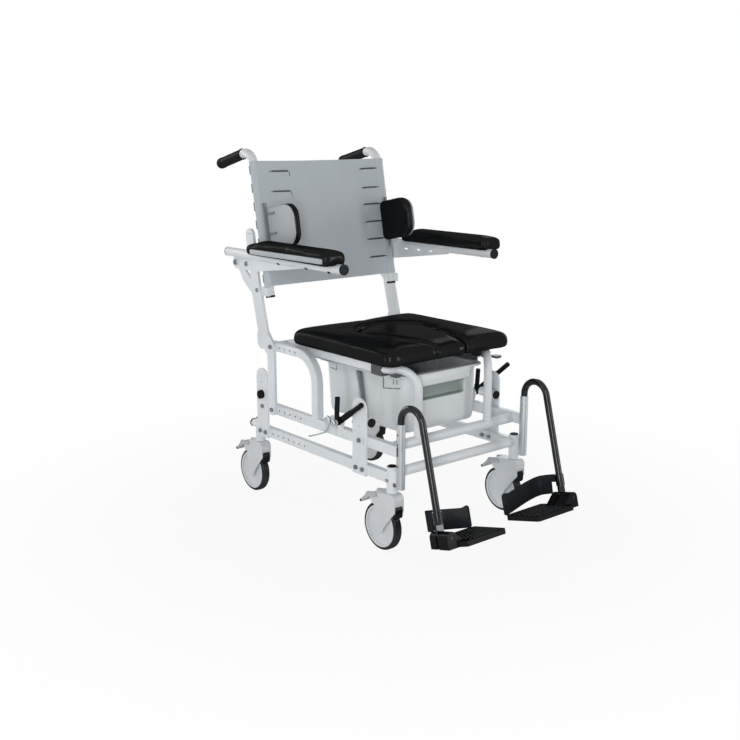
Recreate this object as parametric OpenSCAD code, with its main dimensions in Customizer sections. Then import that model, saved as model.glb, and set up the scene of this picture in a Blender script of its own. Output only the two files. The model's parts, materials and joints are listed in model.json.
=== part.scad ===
/* [Wheels] */
// Diameter of the castor wheels
wheel_d = 125; // [100:1:150]
// Width of the tyre
tyre_w = 24; // [18:1:30]
// Half of the distance between the left and right castor stems
half_track = 220; // [200:1:260]
// Distance between the front and rear castor stems
stem_base = 583; // [540:1:640]
// Distance that a wheel axle stands behind its stem
castor_trail = 35; // [28:1:42]
// Diameter of the castor stem
stem_d = 14; // [12:1:18]
// Diameter of the wheel axle
axle_d = 10; // [8:1:14]
// Thickness of the brake pedal's side lugs
pedal_t = 3; // [2:0.5:4]

/* [Base frame] */
// Width of a rail tube
rail_w = 20; // [16:1:26]
// Height of a rail tube
rail_h = 28; // [22:1:32]
// Wall of the rails and of the other frame tubes
tube_wall = 2; // [1.5:0.1:3]
// Height of the lower rail's middle above the floor
lower_rail_z = 200; // [196:1:220]
// Height of the upper rail's middle above the lower rail's
rail_rise = 74; // [64:1:84]
// How far the rails stand outboard of the castor stems
rail_offset = 6; // [4:1:8]
// Diameter of the castor sleeves
sleeve_d = 28; // [26:1:32]
// Diameter of the front and rear cross tubes
cross_d = 26; // [20:1:27]
// Diameter of the holes in the rails and the plates
hole_d = 6; // [4:0.5:7]
// Distance between two holes of a row
hole_pitch = 25; // [20:1:28]
// Diameter of the rear step stubs
step_d = 22; // [18:1:24]
// Length of the rear step stubs
step_len = 18; // [12:1:40]

/* [Height plates] */
// Width of a height plate
plate_w = 54; // [46:1:60]
// Thickness of a height plate
plate_t = 5; // [3:0.5:6]
// Height of a plate above the lower rail's lower face
plate_h = 200; // [180:1:220]
// Middle of the rear plates, behind the wheelbase's middle
rear_plate_y = 213; // [211:1:218]
// Middle of the front plates, ahead of the wheelbase's middle
front_plate_y = 222; // [205:1:235]
// Diameter of the black plate knobs
knob_d = 24; // [18:1:30]

/* [Side frames] */
// Side of the square tube of the side frames and seat rails
side_tube = 25; // [20:1:28]
// Height of the seat frame's top above the floor
seat_frame_z = 466; // [440:1:490]
// Bend radius of the side frame's middle line
side_bend_r = 75; // [60:1:90]
// Side frame's front leg, ahead of the wheelbase's middle
side_leg_y = 25; // [10:1:35]
// Thickness of the flat uprights
upright_t = 8; // [6:0.5:10]
// Width of the upright's lower leg
upright_w = 32; // [26:1:36]
// Middle of the upright's lower leg, behind the wheelbase's middle
upright_y = 162; // [158:1:164]
// Middle of the seat rails from the chair's middle
seat_rail_x = 178; // [170:1:186]
// Diameter of the front seat supports
support_d = 22; // [18:1:25]
// Front seat supports from the chair's middle
support_x = 124; // [118:1:130]
// Bend radius of the front seat supports
support_bend_r = 54; // [44:1:60]

/* [Seat] */
// Width of the seat cushion
seat_w = 450; // [430:1:470]
// Depth of the seat cushion
seat_d = 424; // [404:1:440]
// Thickness of the seat cushion
seat_t = 45; // [36:1:55]
// Rear edge of the seat, behind the wheelbase's middle
seat_rear_y = 110; // [100:1:125]
// Radius of the round opening in the seat
opening_r = 109; // [95:1:118]
// Width of the seat's front channel
channel_w = 96; // [80:1:120]
// Radius of the seat's corners
seat_corner_r = 30; // [20:1:50]
// Gap all round the seat insert
insert_gap = 1.2; // [0.6:0.1:2]

/* [Pan] */
// Width of the pan's body
pan_w = 262; // [236:1:266]
// Length of the pan's body
pan_l = 336; // [310:1:345]
// Height of the pan
pan_h = 156; // [130:1:165]
// Height of the pan's rim above the floor
pan_rim_z = 432; // [415:1:434]
// Front face of the pan, ahead of the wheelbase's middle
pan_front_y = 270; // [258:1:276]
// Width of the pan's rim flange
pan_flange = 14; // [10:1:16]
// Wall of the pan
pan_wall = 3; // [2:0.5:4]
// Width of the grip at the pan's front
pan_grip_w = 182; // [160:1:200]

/* [Back] */
// Diameter of the back tubes
back_d = 25; // [22:1:27]
// Lower end of the back tubes above the floor
back_foot_z = 591; // [580:1:600]
// Lower end of the back tubes, behind the wheelbase's middle
back_foot_y = 192; // [186:1:198]
// Lean of the back from the vertical, degrees
back_lean = 10.5; // [8:0.5:13]
// Straight length of the back tubes
back_len = 357; // [330:1:400]
// Bend radius of the push handles
handle_bend_r = 40; // [34:1:60]
// Fall of the push handles towards their ends, degrees
handle_drop = 14; // [0:1:20]
// Length of a push handle's straight tube
handle_len = 124; // [110:1:160]
// Diameter of the push grips
grip_d = 31; // [29:1:34]
// Height of the back cover
cover_h = 342; // [300:1:350]
// Lower edge of the back cover above the tube's lower end
cover_foot = 25; // [20:1:30]
// Thickness of the back cover
cover_t = 3.5; // [2:0.5:4]
// How far the middle of the cover sinks back
cover_sag = 12; // [4:1:20]
// Number of straps down each edge of the cover
strap_count = 7; // [4:1:7]
// Height of one strap
strap_h = 24; // [16:1:28]

/* [Lateral supports] */
// Depth of a lateral support from front to back
lateral_l = 130; // [110:1:140]
// Height of a lateral support
lateral_h = 118; // [100:1:126]
// Thickness of a lateral pad
lateral_pad_t = 22; // [16:1:26]
// Thickness of a lateral shell
lateral_shell_t = 4; // [3:0.5:6]
// Middle of the lateral supports above the floor
lateral_z = 784; // [775:1:800]

/* [Armrests] */
// Diameter of the arm tubes
arm_d = 25; // [20:1:28]
// Height of the arm tubes' middle above the floor
arm_z = 704; // [695:1:712]
// Rear end of the arm tubes, behind the wheelbase's middle
arm_rear_y = 332; // [325:1:345]
// Length of the arm tubes
arm_l = 522; // [480:1:560]
// Thickness of the arm's gusset plate
gusset_t = 6; // [4:0.5:8]
// Gusset plate's front tip, behind the arm tube's front end
gusset_lead = 164; // [140:1:180]
// Height of the gusset plate's front tip
gusset_tip_h = 14; // [10:1:20]
// Arm pivot, behind the wheelbase's middle
arm_pivot_y = 312; // [306:1:316]
// Arm pivot below the arm tube's middle
arm_pivot_drop = 29; // [27:1:32]
// Diameter of the arm pivot pin
pin_d = 8; // [6:0.5:10]
// Width of an arm pad
arm_pad_w = 72; // [60:1:80]
// Length of an arm pad
arm_pad_l = 360; // [320:1:370]
// Thickness of an arm pad
arm_pad_t = 36; // [28:1:42]

/* [Legrests] */
// Diameter of the leg tubes
leg_d = 18; // [16:1:21]
// Wall of the legrest sockets
socket_wall = 2; // [1.5:0.1:3]
// Height of the legrest sockets
socket_h = 166; // [140:1:180]
// Lower end of the sockets above the floor
socket_z = 176; // [172:1:184]
// Legrest sockets ahead of the front castor stems
socket_lead = 32; // [31:1:36]
// Radius of the leg tube's hook
hook_r = 39; // [34:1:46]
// Lean of the leg tube from the vertical, degrees
leg_lean = 14.6; // [10:0.1:18]
// Length of the leg tube from its hook to the footplate hinge
leg_len = 272; // [250:1:275]

/* [Footplates] */
// Length of a footplate from its hinge pin to its inner end
foot_l = 162; // [150:1:175]
// Depth of a footplate
foot_depth = 116; // [104:1:122]
// Thickness of a footplate
foot_t = 13; // [8:1:15]
// Diameter of the hinge knuckles
knuckle_d = 28; // [26:1:32]
// How far the heel band's curve reaches behind the hinge pin
heel_reach = 65; // [63:1:75]
// Height of the heel band
heel_h = 52; // [40:1:56]
// Thickness of the heel band
heel_t = 3; // [2:0.5:4]

/* [Levers] */
// Lever pivots, ahead of the wheelbase's middle
lever_lead = 146; // [142:1:150]
// Length of the right clamp lever
clamp_len = 116; // [100:1:120]
// Slant of the right clamp lever from the horizontal, degrees
clamp_slant = 34; // [30:1:40]
// Length of the left clamp lever
left_clamp_len = 160; // [140:1:165]
// Slant of the left clamp lever from the horizontal, degrees
left_clamp_slant = 40; // [36:1:44]
// Slant of the release lever from the horizontal, degrees
release_slant = 86; // [80:1:94]
// Length of the release lever
release_len = 68; // [60:1:76]
// Diameter of the lever grips
lever_grip_d = 13; // [10:1:15]

/* [Fits] */
// Radial clearance of turning pins and stems
fit = 0.05; // [0.02:0.01:0.1]
// Gap between pieces that move past each other
gap = 0.6; // [0.4:0.1:1]

/* [Hidden] */
$fn = 48;
// Reach of a cut that goes right through
far = 1000;

// Stations along Y, before the model is centred. The chair faces -Y.
rear_stem_y = stem_base / 2 - castor_trail + 0.5;
front_stem_y = rear_stem_y - stem_base;
socket_y = front_stem_y - socket_lead;
front_cross_y = front_stem_y + sleeve_d / 2 - 2;

// Base frame
rail_x = half_track + rail_offset;
rail_out = rail_x + rail_w / 2;
upper_rail_z = lower_rail_z + rail_rise;
upper_rail_top = upper_rail_z + rail_h / 2;
upper_rail_end = rear_plate_y + plate_w / 2 - 4;
sleeve_z0 = wheel_d + 34;
sleeve_z1 = lower_rail_z + 27;
socket_d = leg_d + 2 * socket_wall + 2 * fit;
plate_z0 = lower_rail_z - rail_h / 2 - 2;
plug_t = 4;
bolt_d = hole_d - 0.4;
head_d = 12;
head_t = 4;

stub_d = 24;
stub_x = rail_out - stub_d / 2 + 0.5;
stub_z = upper_rail_top + 34;

// Seat frame
side_x = rail_out - side_tube / 2;
side_z = seat_frame_z - side_tube / 2;
rear_cross_y = upright_y - 2;
seat_rail_front = front_cross_y + 64;
runner_t = 3;
runner_x = pan_w / 2 + pan_flange + 3;
runner_z = pan_rim_z - 6 - gap;

// Castor
axle_z = wheel_d / 2;
cheek_t = 3;
cheek_gap = 0.9;
cheek_x = tyre_w / 2 + cheek_gap;
hood_top = sleeve_z0 - gap;
tyre_t = 8;
hub_r = wheel_d / 2 - tyre_t;
pedal_pivot = [46, hood_top - 13];
pedal_reach = 103;

// Back
back_r = back_d / 2;
wrap_r = back_r + 0.2;
cover_r = (pow(half_track, 2) + pow(cover_sag, 2)) / (2 * cover_sag);
grip_lead = 6;
grip_t = 5;
handle_sweep = 90 - back_lean + handle_drop;
handle_local = handle_drop - back_lean;
bend_mid = [back_foot_y + back_len * sin(back_lean) + handle_bend_r * cos(back_lean),
            back_foot_z + back_len * cos(back_lean) - handle_bend_r * sin(back_lean)];
handle_y0 = bend_mid[0] + handle_bend_r * sin(handle_drop);
grip_end_y = handle_y0 + (handle_len + grip_t) * cos(handle_drop) + grip_d / 2 * sin(handle_drop);

// Armrests
gusset_x = rail_out + upright_t + 1;
arm_x = gusset_x + gusset_t - 0.5 + arm_d / 2;
arm_pivot_z = arm_z - arm_pivot_drop;
arm_front_y = arm_rear_y - arm_l;
gusset_tip_y = arm_front_y + gusset_lead;
arm_pad_x = arm_x + 12;
arm_pad_front_y = arm_front_y + 11;
arm_pad_z = arm_z + arm_d / 2 - 6;

// Legrests and footplates
leg_up_z = socket_z + socket_h + 6;
hook_mid = [socket_y - hook_r, leg_up_z];
hook_end = [hook_mid[0] - hook_r * cos(leg_lean), hook_mid[1] + hook_r * sin(leg_lean)];
hinge_y = hook_end[0] - leg_len * sin(leg_lean);
hinge_z = hook_end[1] - leg_len * cos(leg_lean);
knuckle_r = knuckle_d / 2;
tongue_t = 6;
tongue_w = 22;
knuckle_rear = 25;
knuckle_front = 38;
collar_z = knuckle_r + 18;
collar_d = leg_d + 5;
foot_rear = -foot_depth / 2;
foot_front = foot_rear + foot_depth;
foot_z0 = -knuckle_r - 12;
foot_top = foot_z0 + foot_t;
hinge_pin_d = 8;
foot_front_y = hinge_y - foot_front * cos(leg_lean) + foot_z0 * sin(leg_lean);

// Levers
lever_pivot_y = -lever_lead;
lever_pivot_z = upper_rail_top + 18;
lever_t = 4;
lever_x = rail_out + plate_t + head_t + 1;
lever_pin_d = 8;
release_x = lever_x + lever_t + gap;

// The origin is under the middle of the whole chair.
origin_y = (grip_end_y + foot_front_y) / 2;

module placed() translate([0, -origin_y, 0]) children();

module both_sides() {
  children();
  mirror([1, 0, 0]) children();
}

module on_side(s) {
  if (s > 0) children();
  else mirror([1, 0, 0]) children();
}

// Flat outline with round corners, made of squares and circles.
module rounded(w, h, r) {
  square([w - 2 * r, h], center = true);
  square([w, h - 2 * r], center = true);
  for (x = [-1, 1], y = [-1, 1]) translate([x * (w / 2 - r), y * (h / 2 - r)]) circle(r);
}

// Flat bar with round ends from point a to point b. Its sides lie a hair inside the round ends.
module bar2d(a, b, w) {
  len = norm(b - a);
  turn = atan2(b[1] - a[1], b[0] - a[0]);
  translate(a) rotate(turn) translate([0, -w / 2 + 0.06]) square([len, w - 0.12]);
  translate(a) circle(d = w);
  translate(b) circle(d = w);
}

// Draws a flat outline in the Y-Z plane and thickens it along +X from x.
module side_plate(x, t) translate([x, 0, 0]) rotate([90, 0, 90]) linear_extrude(t) children();

module x_rod(x0, x1, y, z, d) translate([x0, y, z]) rotate([0, 90, 0]) cylinder(d = d, h = x1 - x0);

module y_rod(x, y0, y1, z, d) translate([x, y0, z]) rotate([-90, 0, 0]) cylinder(d = d, h = y1 - y0);

module ring2d(d, wall) {
  difference() {
    circle(d = d);
    circle(d = d - 2 * wall);
  }
}

module frame2d(w, h, r, wall) {
  difference() {
    rounded(w, h, r);
    rounded(w - 2 * wall, h - 2 * wall, max(r - wall, 0.5));
  }
}

// Straight tube in the Y-Z plane: from [y, z], at heading a from +Y towards +Z.
module straight(x, p, a, len) {
  translate([x, p[0], p[1]]) rotate([a, 0, 0]) rotate([-90, 0, 0]) linear_extrude(len) children();
}

// Bend in the Y-Z plane about middle m, from angle a0 over a sweep.
module bend(x, m, r, a0, sweep) {
  translate([x, m[0], m[1]]) rotate([90, 0, 90]) rotate([0, 0, a0])
    rotate_extrude(angle = sweep) translate([r, 0]) rotate(90) children();
}

module rail(y0, y1, z) {
  straight(rail_x, [y0, z], 0, y1 - y0) frame2d(rail_w, rail_h, 3, tube_wall);
}

// A row of holes through both walls of a rail.
module rail_holes(y0, count, z) {
  for (i = [0 : count - 1]) x_rod(rail_out - rail_w - 1, rail_out + 1, y0 - i * hole_pitch, z, hole_d);
}

// Bolt places on the plates and uprights: [y, z, outer face].
plate_out = rail_out + plate_t;
upright_out = rail_out + upright_t;
plate_bolts = [for (y = [rear_plate_y, -front_plate_y], p = [[13, 0], [-13, 0], [0, rail_rise]])
  [y + p[0], lower_rail_z + p[1], plate_out]];
upright_bolts = [[upright_y, upper_rail_z, upright_out], [upright_y, side_z, upright_out]];
bolts = concat(plate_bolts, upright_bolts);

module bolt_holes(list) for (b = list) x_rod(rail_out - 30, b[2] + 1, b[0], b[1], hole_d);

module sleeve_solid(y, d) translate([half_track, y, sleeve_z0]) cylinder(d = d, h = sleeve_z1 - sleeve_z0);

module sleeves_cut() for (y = [front_stem_y, rear_stem_y]) sleeve_solid(y, sleeve_d);

module socket_cut() translate([half_track, socket_y, 0]) cylinder(d = socket_d, h = far);

module lower_rails() {
  color("#e6e9ec") placed() both_sides() difference() {
    rail(front_stem_y, rear_stem_y, lower_rail_z);
    sleeves_cut();
    rail_holes(170, 7, lower_rail_z);
    bolt_holes(plate_bolts);
  }
}

module upper_rails() {
  color("#e6e9ec") placed() both_sides() difference() {
    rail(socket_y, upper_rail_end, upper_rail_z);
    socket_cut();
    rail_holes(136, 5, upper_rail_z);
    bolt_holes(bolts);
  }
}

module cross_tube(y, z, x) {
  translate([0, y, z]) rotate([0, 90, 0]) linear_extrude(2 * x, center = true) ring2d(cross_d, tube_wall);
}

module cross_tubes() {
  color("#e6e9ec") placed() {
    difference() {
      cross_tube(front_stem_y, lower_rail_z + 8, half_track);
      both_sides() sleeves_cut();
    }
    cross_tube(front_cross_y, upper_rail_z - 2, rail_out - rail_w);
  }
}

module castor_sleeves() {
  lug_z = socket_z + 4;
  lug_h = sleeve_z1 - plug_t - lug_z - 4;
  color("#e6e9ec") placed() both_sides() {
    for (y = [front_stem_y, rear_stem_y]) difference() {
      sleeve_solid(y, sleeve_d);
      translate([half_track, y, 0]) cylinder(d = stem_d + 2 * fit, h = sleeve_z1 - plug_t);
      translate([half_track, y, sleeve_z1 - plug_t]) cylinder(d = sleeve_d - 6, h = plug_t + 1);
    }
    // Lug that carries the legrest socket
    difference() {
      translate([half_track - 7, socket_y, lug_z]) cube([14, socket_lead, lug_h]);
      socket_cut();
      sleeve_solid(front_stem_y, sleeve_d);
      translate([half_track, front_stem_y, 0]) cylinder(d = sleeve_d, h = far);
    }
    // Rear step stub
    difference() {
      straight(half_track, [rear_stem_y, lower_rail_z + 6], 0, sleeve_d / 2 + step_len)
        ring2d(step_d, tube_wall);
      sleeve_solid(rear_stem_y, sleeve_d);
    }
  }
}

module height_plate2d(y) {
  top = plate_z0 + plate_h;
  translate([y - plate_w / 2, plate_z0]) square([plate_w, plate_h - plate_w / 2]);
  translate([y, top - plate_w / 2]) circle(d = plate_w);
}

module rear_height_plates() {
  color("#e9ecef") placed() both_sides() difference() {
    side_plate(rail_out, plate_t) difference() {
      height_plate2d(rear_plate_y);
      for (z = [25, 39]) translate([rear_plate_y, plate_z0 + plate_h - z]) circle(d = 5);
    }
    bolt_holes(plate_bolts);
    x_rod(rail_out - 1, plate_out + 1, rear_plate_y, plate_z0 + plate_h - 75, hole_d);
  }
}

module front_height_plates() {
  slot_y = -front_plate_y - plate_w / 2 + 8;
  stub_y = -front_plate_y - plate_w / 2;
  color("#e9ecef") placed() both_sides() {
    difference() {
      side_plate(rail_out, plate_t) difference() {
        height_plate2d(-front_plate_y);
        for (z = [12, 72]) translate([-front_plate_y, plate_z0 + plate_h - z]) circle(d = 5);
        bar2d([slot_y, upper_rail_z + 8], [slot_y, upper_rail_z - 6], 4);
      }
      bolt_holes(plate_bolts);
    }
    // Short tube on the inner face, closed by a cap at its front
    straight(stub_x, [stub_y, stub_z], 0, plate_w + 2) ring2d(stub_d, tube_wall);
  }
}

module side_frames() {
  bend_y = side_bend_r - side_leg_y;
  leg_top = side_z - side_bend_r;
  color("#e6e9ec") placed() both_sides() difference() {
    union() {
      straight(side_x, [bend_y, side_z], 0, upright_y + upright_w / 2 - bend_y)
        frame2d(side_tube, side_tube, 5, tube_wall);
      bend(side_x, [bend_y, leg_top], side_bend_r, 90, 90)
        frame2d(side_tube, side_tube, 5, tube_wall);
      straight(side_x, [-side_leg_y, upper_rail_top], 90, leg_top - upper_rail_top)
        frame2d(side_tube, side_tube, 5, tube_wall);
    }
    bolt_holes(upright_bolts);
    for (i = [1 : 4]) x_rod(side_x, rail_out + 1, upright_y - 8 - i * 24, side_z, hole_d);
  }
}

module seat_rails() {
  color("#e6e9ec") placed() {
    both_sides() difference() {
      straight(seat_rail_x, [seat_rail_front, side_z], 0, rear_cross_y - seat_rail_front)
        frame2d(side_tube, side_tube, 3, tube_wall);
      x_rod(-side_x, side_x, rear_cross_y, side_z, side_tube);
    }
    translate([0, rear_cross_y, side_z]) rotate([0, 90, 0])
      linear_extrude(2 * side_x - side_tube, center = true) ring2d(side_tube, tube_wall);
    // Closed front ends of the rails
    both_sides() translate([seat_rail_x, seat_rail_front + tube_wall / 2, side_z])
      cube([side_tube - tube_wall, tube_wall, side_tube - tube_wall], center = true);
  }
}

// Turn of the seat supports, outward from straight back.
support_turn = atan2(seat_rail_x - support_x, seat_rail_front - front_cross_y);

module front_seat_supports() {
  reach = norm([seat_rail_x - support_x, seat_rail_front - front_cross_y]) - support_bend_r;
  bend_z = side_z - support_bend_r;
  color("#e6e9ec") placed() both_sides() difference() {
    translate([support_x, front_cross_y, 0]) rotate([0, 0, -support_turn]) {
      straight(0, [0, upper_rail_z], 90, bend_z - upper_rail_z) ring2d(support_d, tube_wall);
      bend(0, [support_bend_r, bend_z], support_bend_r, 90, 90) ring2d(support_d, tube_wall);
      straight(0, [support_bend_r, side_z], 0, reach + 20) ring2d(support_d, tube_wall);
    }
    x_rod(-half_track, half_track, front_cross_y, upper_rail_z - 2, cross_d);
    translate([seat_rail_x - 50, seat_rail_front, side_z - 50]) cube([100, 100, 100]);
  }
}

// Line of the upright's leaning bar, from the knee to its round top.
knee = [upright_y + 34, side_z + 28];
fork_point = [upright_y + 64, knee[1] + 114];
bar_top = [arm_pivot_y - 58, arm_z + 50];

module uprights() {
  bracket_z = back_foot_z + 12;
  color("#e9ecef") placed() both_sides() {
    difference() {
      union() {
        side_plate(rail_out, upright_t) {
          bar2d([upright_y, upper_rail_z], [upright_y, side_z], upright_w);
          bar2d([upright_y + 10, side_z], knee, 46);
          bar2d([upright_y + 44, side_z + 8], [upright_y + 44, side_z + 26], 40);
          bar2d(knee, fork_point, 44);
          bar2d(fork_point, bar_top, 36);
          bar2d(fork_point, [arm_pivot_y - 30, arm_pivot_z - 38], 30);
          bar2d([arm_pivot_y - 30, arm_pivot_z - 38], [arm_pivot_y, arm_pivot_z], 26);
        }
        // Bracket that holds the back tube
        translate([half_track, back_foot_y - 12, bracket_z - 12])
          cube([rail_out - half_track + 1, upright_y + 58 - back_foot_y, 24]);
      }
      bolt_holes(upright_bolts);
      back_frame() translate([half_track, 0, -60]) cylinder(d = back_d, h = back_len);
      back_frame() translate([half_track, 0, -60]) cylinder(d = back_d + 2, h = 60.5);
      for (dy = [-6, 6]) x_rod(rail_out - 1, upright_out + 1, bar_top[0] + dy, bar_top[1] + 4, 4);
    }
    // Arm pivot pin with its head
    x_rod(upright_out - 1, gusset_x + gusset_t + gap + 1, arm_pivot_y, arm_pivot_z, pin_d);
    x_rod(gusset_x + gusset_t + gap, gusset_x + gusset_t + gap + head_t, arm_pivot_y, arm_pivot_z, 18);
  }
}

// Frame of the back: local Z runs up the tube, local Y points to the rear.
module back_frame() translate([0, back_foot_y, back_foot_z]) rotate([-back_lean, 0, 0]) children();

module back_tubes() {
  color("#e6e9ec") placed() both_sides() {
    back_frame() {
      translate([half_track, 0, 0]) linear_extrude(back_len) ring2d(back_d, tube_wall);
      bend(half_track, [handle_bend_r, back_len], handle_bend_r, 90 - handle_local, handle_sweep)
        ring2d(back_d, tube_wall);
      translate([half_track, handle_bend_r, back_len]) rotate([-handle_local, 0, 0])
        translate([0, 0, handle_bend_r]) rotate([-90, 0, 0])
          linear_extrude(handle_len) ring2d(back_d, tube_wall);
    }
  }
}

module handle_frame() back_frame() translate([half_track, handle_bend_r, back_len])
  rotate([-handle_local, 0, 0]) translate([0, 0, handle_bend_r]) rotate([-90, 0, 0]) children();

module push_grips() {
  color("#1b1d1f") placed() both_sides() handle_frame() difference() {
    translate([0, 0, grip_lead]) rotate_extrude() difference() {
      union() {
        translate([0, 3]) square([grip_d / 2, handle_len + grip_t - grip_lead - 9]);
        square([grip_d / 2 - 3, handle_len + grip_t - grip_lead]);
        translate([grip_d / 2 - 3, 3]) circle(3);
        translate([0, handle_len + grip_t - grip_lead - 6]) intersection() {
          square([grip_d / 2, 6]);
          translate([grip_d / 2 - 6, 0]) circle(6);
        }
      }
      translate([-far, -far / 2]) square([far, far]);
    }
    cylinder(d = back_d + 2 * fit, h = handle_len);
  }
}

module back_cover() {
  color("#8f979d") placed() difference() {
    cover_solid();
    both_sides() stud_holes(7);
  }
}

module cover_solid() {
  back_frame() translate([0, 0, cover_foot]) linear_extrude(cover_h) {
    difference() {
      translate([0, cover_sag - wrap_r - cover_r]) difference() {
        circle(cover_r, $fn = 360);
        circle(cover_r - cover_t, $fn = 360);
      }
      translate([1 - half_track - 2 * cover_r, -3 * cover_r]) square([2 * cover_r, 6 * cover_r]);
      translate([half_track - 1, -3 * cover_r]) square([2 * cover_r, 6 * cover_r]);
      translate([-cover_r, -3 * cover_r - 60]) square([2 * cover_r, 3 * cover_r]);
    }
    // Wrap round the front of each tube
    both_sides() translate([half_track, 0]) intersection() {
      difference() {
        circle(wrap_r + cover_t);
        circle(wrap_r);
      }
      translate([-4, -60]) square([64, 60]);
    }
  }
}

// Each strap leaves the cover's edge and goes round the outer side of its tube to the back.
module back_straps() {
  pitch = (cover_h - strap_h - 20) / (strap_count - 1);
  tail = 46;
  color("#5c636a") placed() back_frame() both_sides()
    for (i = [0 : strap_count - 1]) translate([half_track, 0, cover_foot + 10 + i * pitch])
      linear_extrude(strap_h) {
        intersection() {
          difference() {
            circle(wrap_r + 2.5);
            circle(wrap_r);
          }
          square([60, 60]);
        }
        translate([-tail, wrap_r]) square([tail, 2.5]);
      }
}

module tube_caps() {
  color("#17191b") placed() both_sides() {
    // Castor sleeve plugs
    for (y = [front_stem_y, rear_stem_y]) translate([half_track, y, sleeve_z1 - plug_t])
      cylinder(d = sleeve_d - 6, h = plug_t + 2);
    // Lower ends of the back tubes
    back_frame() translate([half_track, 0, -6]) cylinder(d = back_d + 1, h = 6);
    // Step stubs
    translate([half_track, rear_stem_y + sleeve_d / 2 + step_len, lower_rail_z + 6]) rotate([-90, 0, 0])
      cylinder(d = step_d + 2, h = 4);
    // Short tubes on the front plates
    translate([stub_x - 0.5, -front_plate_y - plate_w / 2 - 4, stub_z]) rotate([-90, 0, 0])
      cylinder(d = stub_d - 1, h = 4);
    // Rear ends of the upper rails
    translate([rail_x, upper_rail_end, upper_rail_z]) rotate([-90, 0, 0])
      linear_extrude(3) rounded(rail_w, rail_h, 3);
  }
}

// Bolt with its head outside and, where it goes through a rail, its nut inside.
module bolt(b) {
  x_rod(rail_out - rail_w - 1, b[2] + 1, b[0], b[1], bolt_d);
  x_rod(b[2], b[2] + head_t, b[0], b[1], head_d);
  if (b[1] < side_z - 50) x_rod(rail_out - rail_w - 5, rail_out - rail_w, b[0], b[1], head_d - 1);
}

module frame_bolts() color("#3a3f44") placed() both_sides() for (b = bolts) bolt(b);

module plate_knobs() {
  knob_z = plate_z0 + plate_h - 75;
  color("#141618") placed() both_sides() {
    x_rod(plate_out - plate_t, plate_out + 1, rear_plate_y, knob_z, bolt_d);
    x_rod(plate_out, plate_out + 10, rear_plate_y, knob_z, knob_d);
  }
}

module legrest_sockets() {
  color("#b6bbc0") placed() both_sides() difference() {
    translate([half_track, socket_y, socket_z]) cylinder(d = socket_d, h = socket_h);
    translate([half_track, socket_y, socket_z - 1]) cylinder(d = leg_d + 2 * fit, h = socket_h + 2);
    for (z = [60, 88, 116, 140]) x_rod(half_track, half_track + 20, socket_y, socket_z + z, 5);
  }
}

module pan_runners() {
  len = pan_l - 30;
  top = side_z - side_tube / 2;
  color("#c9cdd1") placed() both_sides() translate([0, -pan_front_y + 20, 0]) rotate([90, 0, 180])
    mirror([1, 0, 0]) linear_extrude(len) {
      translate([pan_w / 2 + 2, runner_z - runner_t]) square([runner_x - pan_w / 2 + 1, runner_t]);
      translate([runner_x, runner_z - runner_t]) square([runner_t, top - runner_z + runner_t]);
      translate([runner_x, top - runner_t]) square([seat_rail_x + side_tube / 2 - runner_x, runner_t]);
    }
}

// Hood outline in the fork's own Y-Z plane, stem at y = 0.
module cheek2d() {
  difference() {
    union() {
      bar2d([castor_trail, axle_z], [6, hood_top - 30], 30);
      bar2d([castor_trail, axle_z], [34, hood_top - 34], 34);
      bar2d([castor_trail, axle_z], [-13, hood_top - 40], 27);
      bar2d([-10, hood_top - 17], [50, hood_top - 24], 34);
      bar2d([-13, hood_top - 40], [-13, hood_top - 14], 28);
    }
    translate([-100, hood_top]) square([300, 100]);
  }
}

module hood2d() {
  difference() {
    union() {
      bar2d([-10, hood_top - 17], [50, hood_top - 24], 34);
      bar2d([-13, hood_top - 22], [-13, hood_top - 14], 28);
    }
    translate([-100, hood_top]) square([300, 100]);
    translate([castor_trail, axle_z]) circle(r = axle_z + 2);
  }
}

module at_castor(s, y) translate([0, y, 0]) on_side(s) translate([half_track, 0, 0]) children();

module fork(s, y) {
  color("#d5d9dd") placed() at_castor(s, y) {
    difference() {
      union() {
        for (x = [-cheek_x - cheek_t, cheek_x]) side_plate(x, cheek_t) cheek2d();
        side_plate(-cheek_x - 0.5, 2 * cheek_x + 1) hood2d();
      }
      pedal_space();
    }
    translate([0, 0, hood_top - 4]) cylinder(d = stem_d, h = sleeve_z1 - plug_t - gap - hood_top + 4);
    x_rod(-cheek_x - 1, cheek_x + 1, castor_trail, axle_z, axle_d);
  }
}

module hub(s, y) {
  color("#d9dcdf") placed() at_castor(s, y) translate([0, castor_trail, axle_z]) rotate([0, 90, 0])
    difference() {
      cylinder(r = hub_r, h = tyre_w - 1, center = true);
      cylinder(d = axle_d + 2 * fit, h = tyre_w + 2, center = true);
      for (m = [0, 1]) mirror([0, 0, m]) translate([0, 0, tyre_w / 2 - 4])
        difference() {
          cylinder(r = hub_r - 6, h = 5);
          cylinder(r = 13, h = 5);
        }
    }
}

module tyre(s, y) {
  color("#33373b") placed() at_castor(s, y) translate([0, castor_trail, axle_z]) rotate([0, 90, 0])
    rotate_extrude() intersection() {
      translate([hub_r, -tyre_w / 2]) square([tyre_t, tyre_w]);
      union() {
        translate([hub_r, -tyre_w / 2]) square([tyre_t - 7, tyre_w]);
        translate([hub_r + tyre_t - 7, 0]) rounded(14, tyre_w, 6.5);
      }
    }
}

// Room in the hood and cheeks for the pedal's pivot pin.
module pedal_space() x_rod(-60, 60, pedal_pivot[0], pedal_pivot[1], pin_d + 2 * fit);

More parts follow.
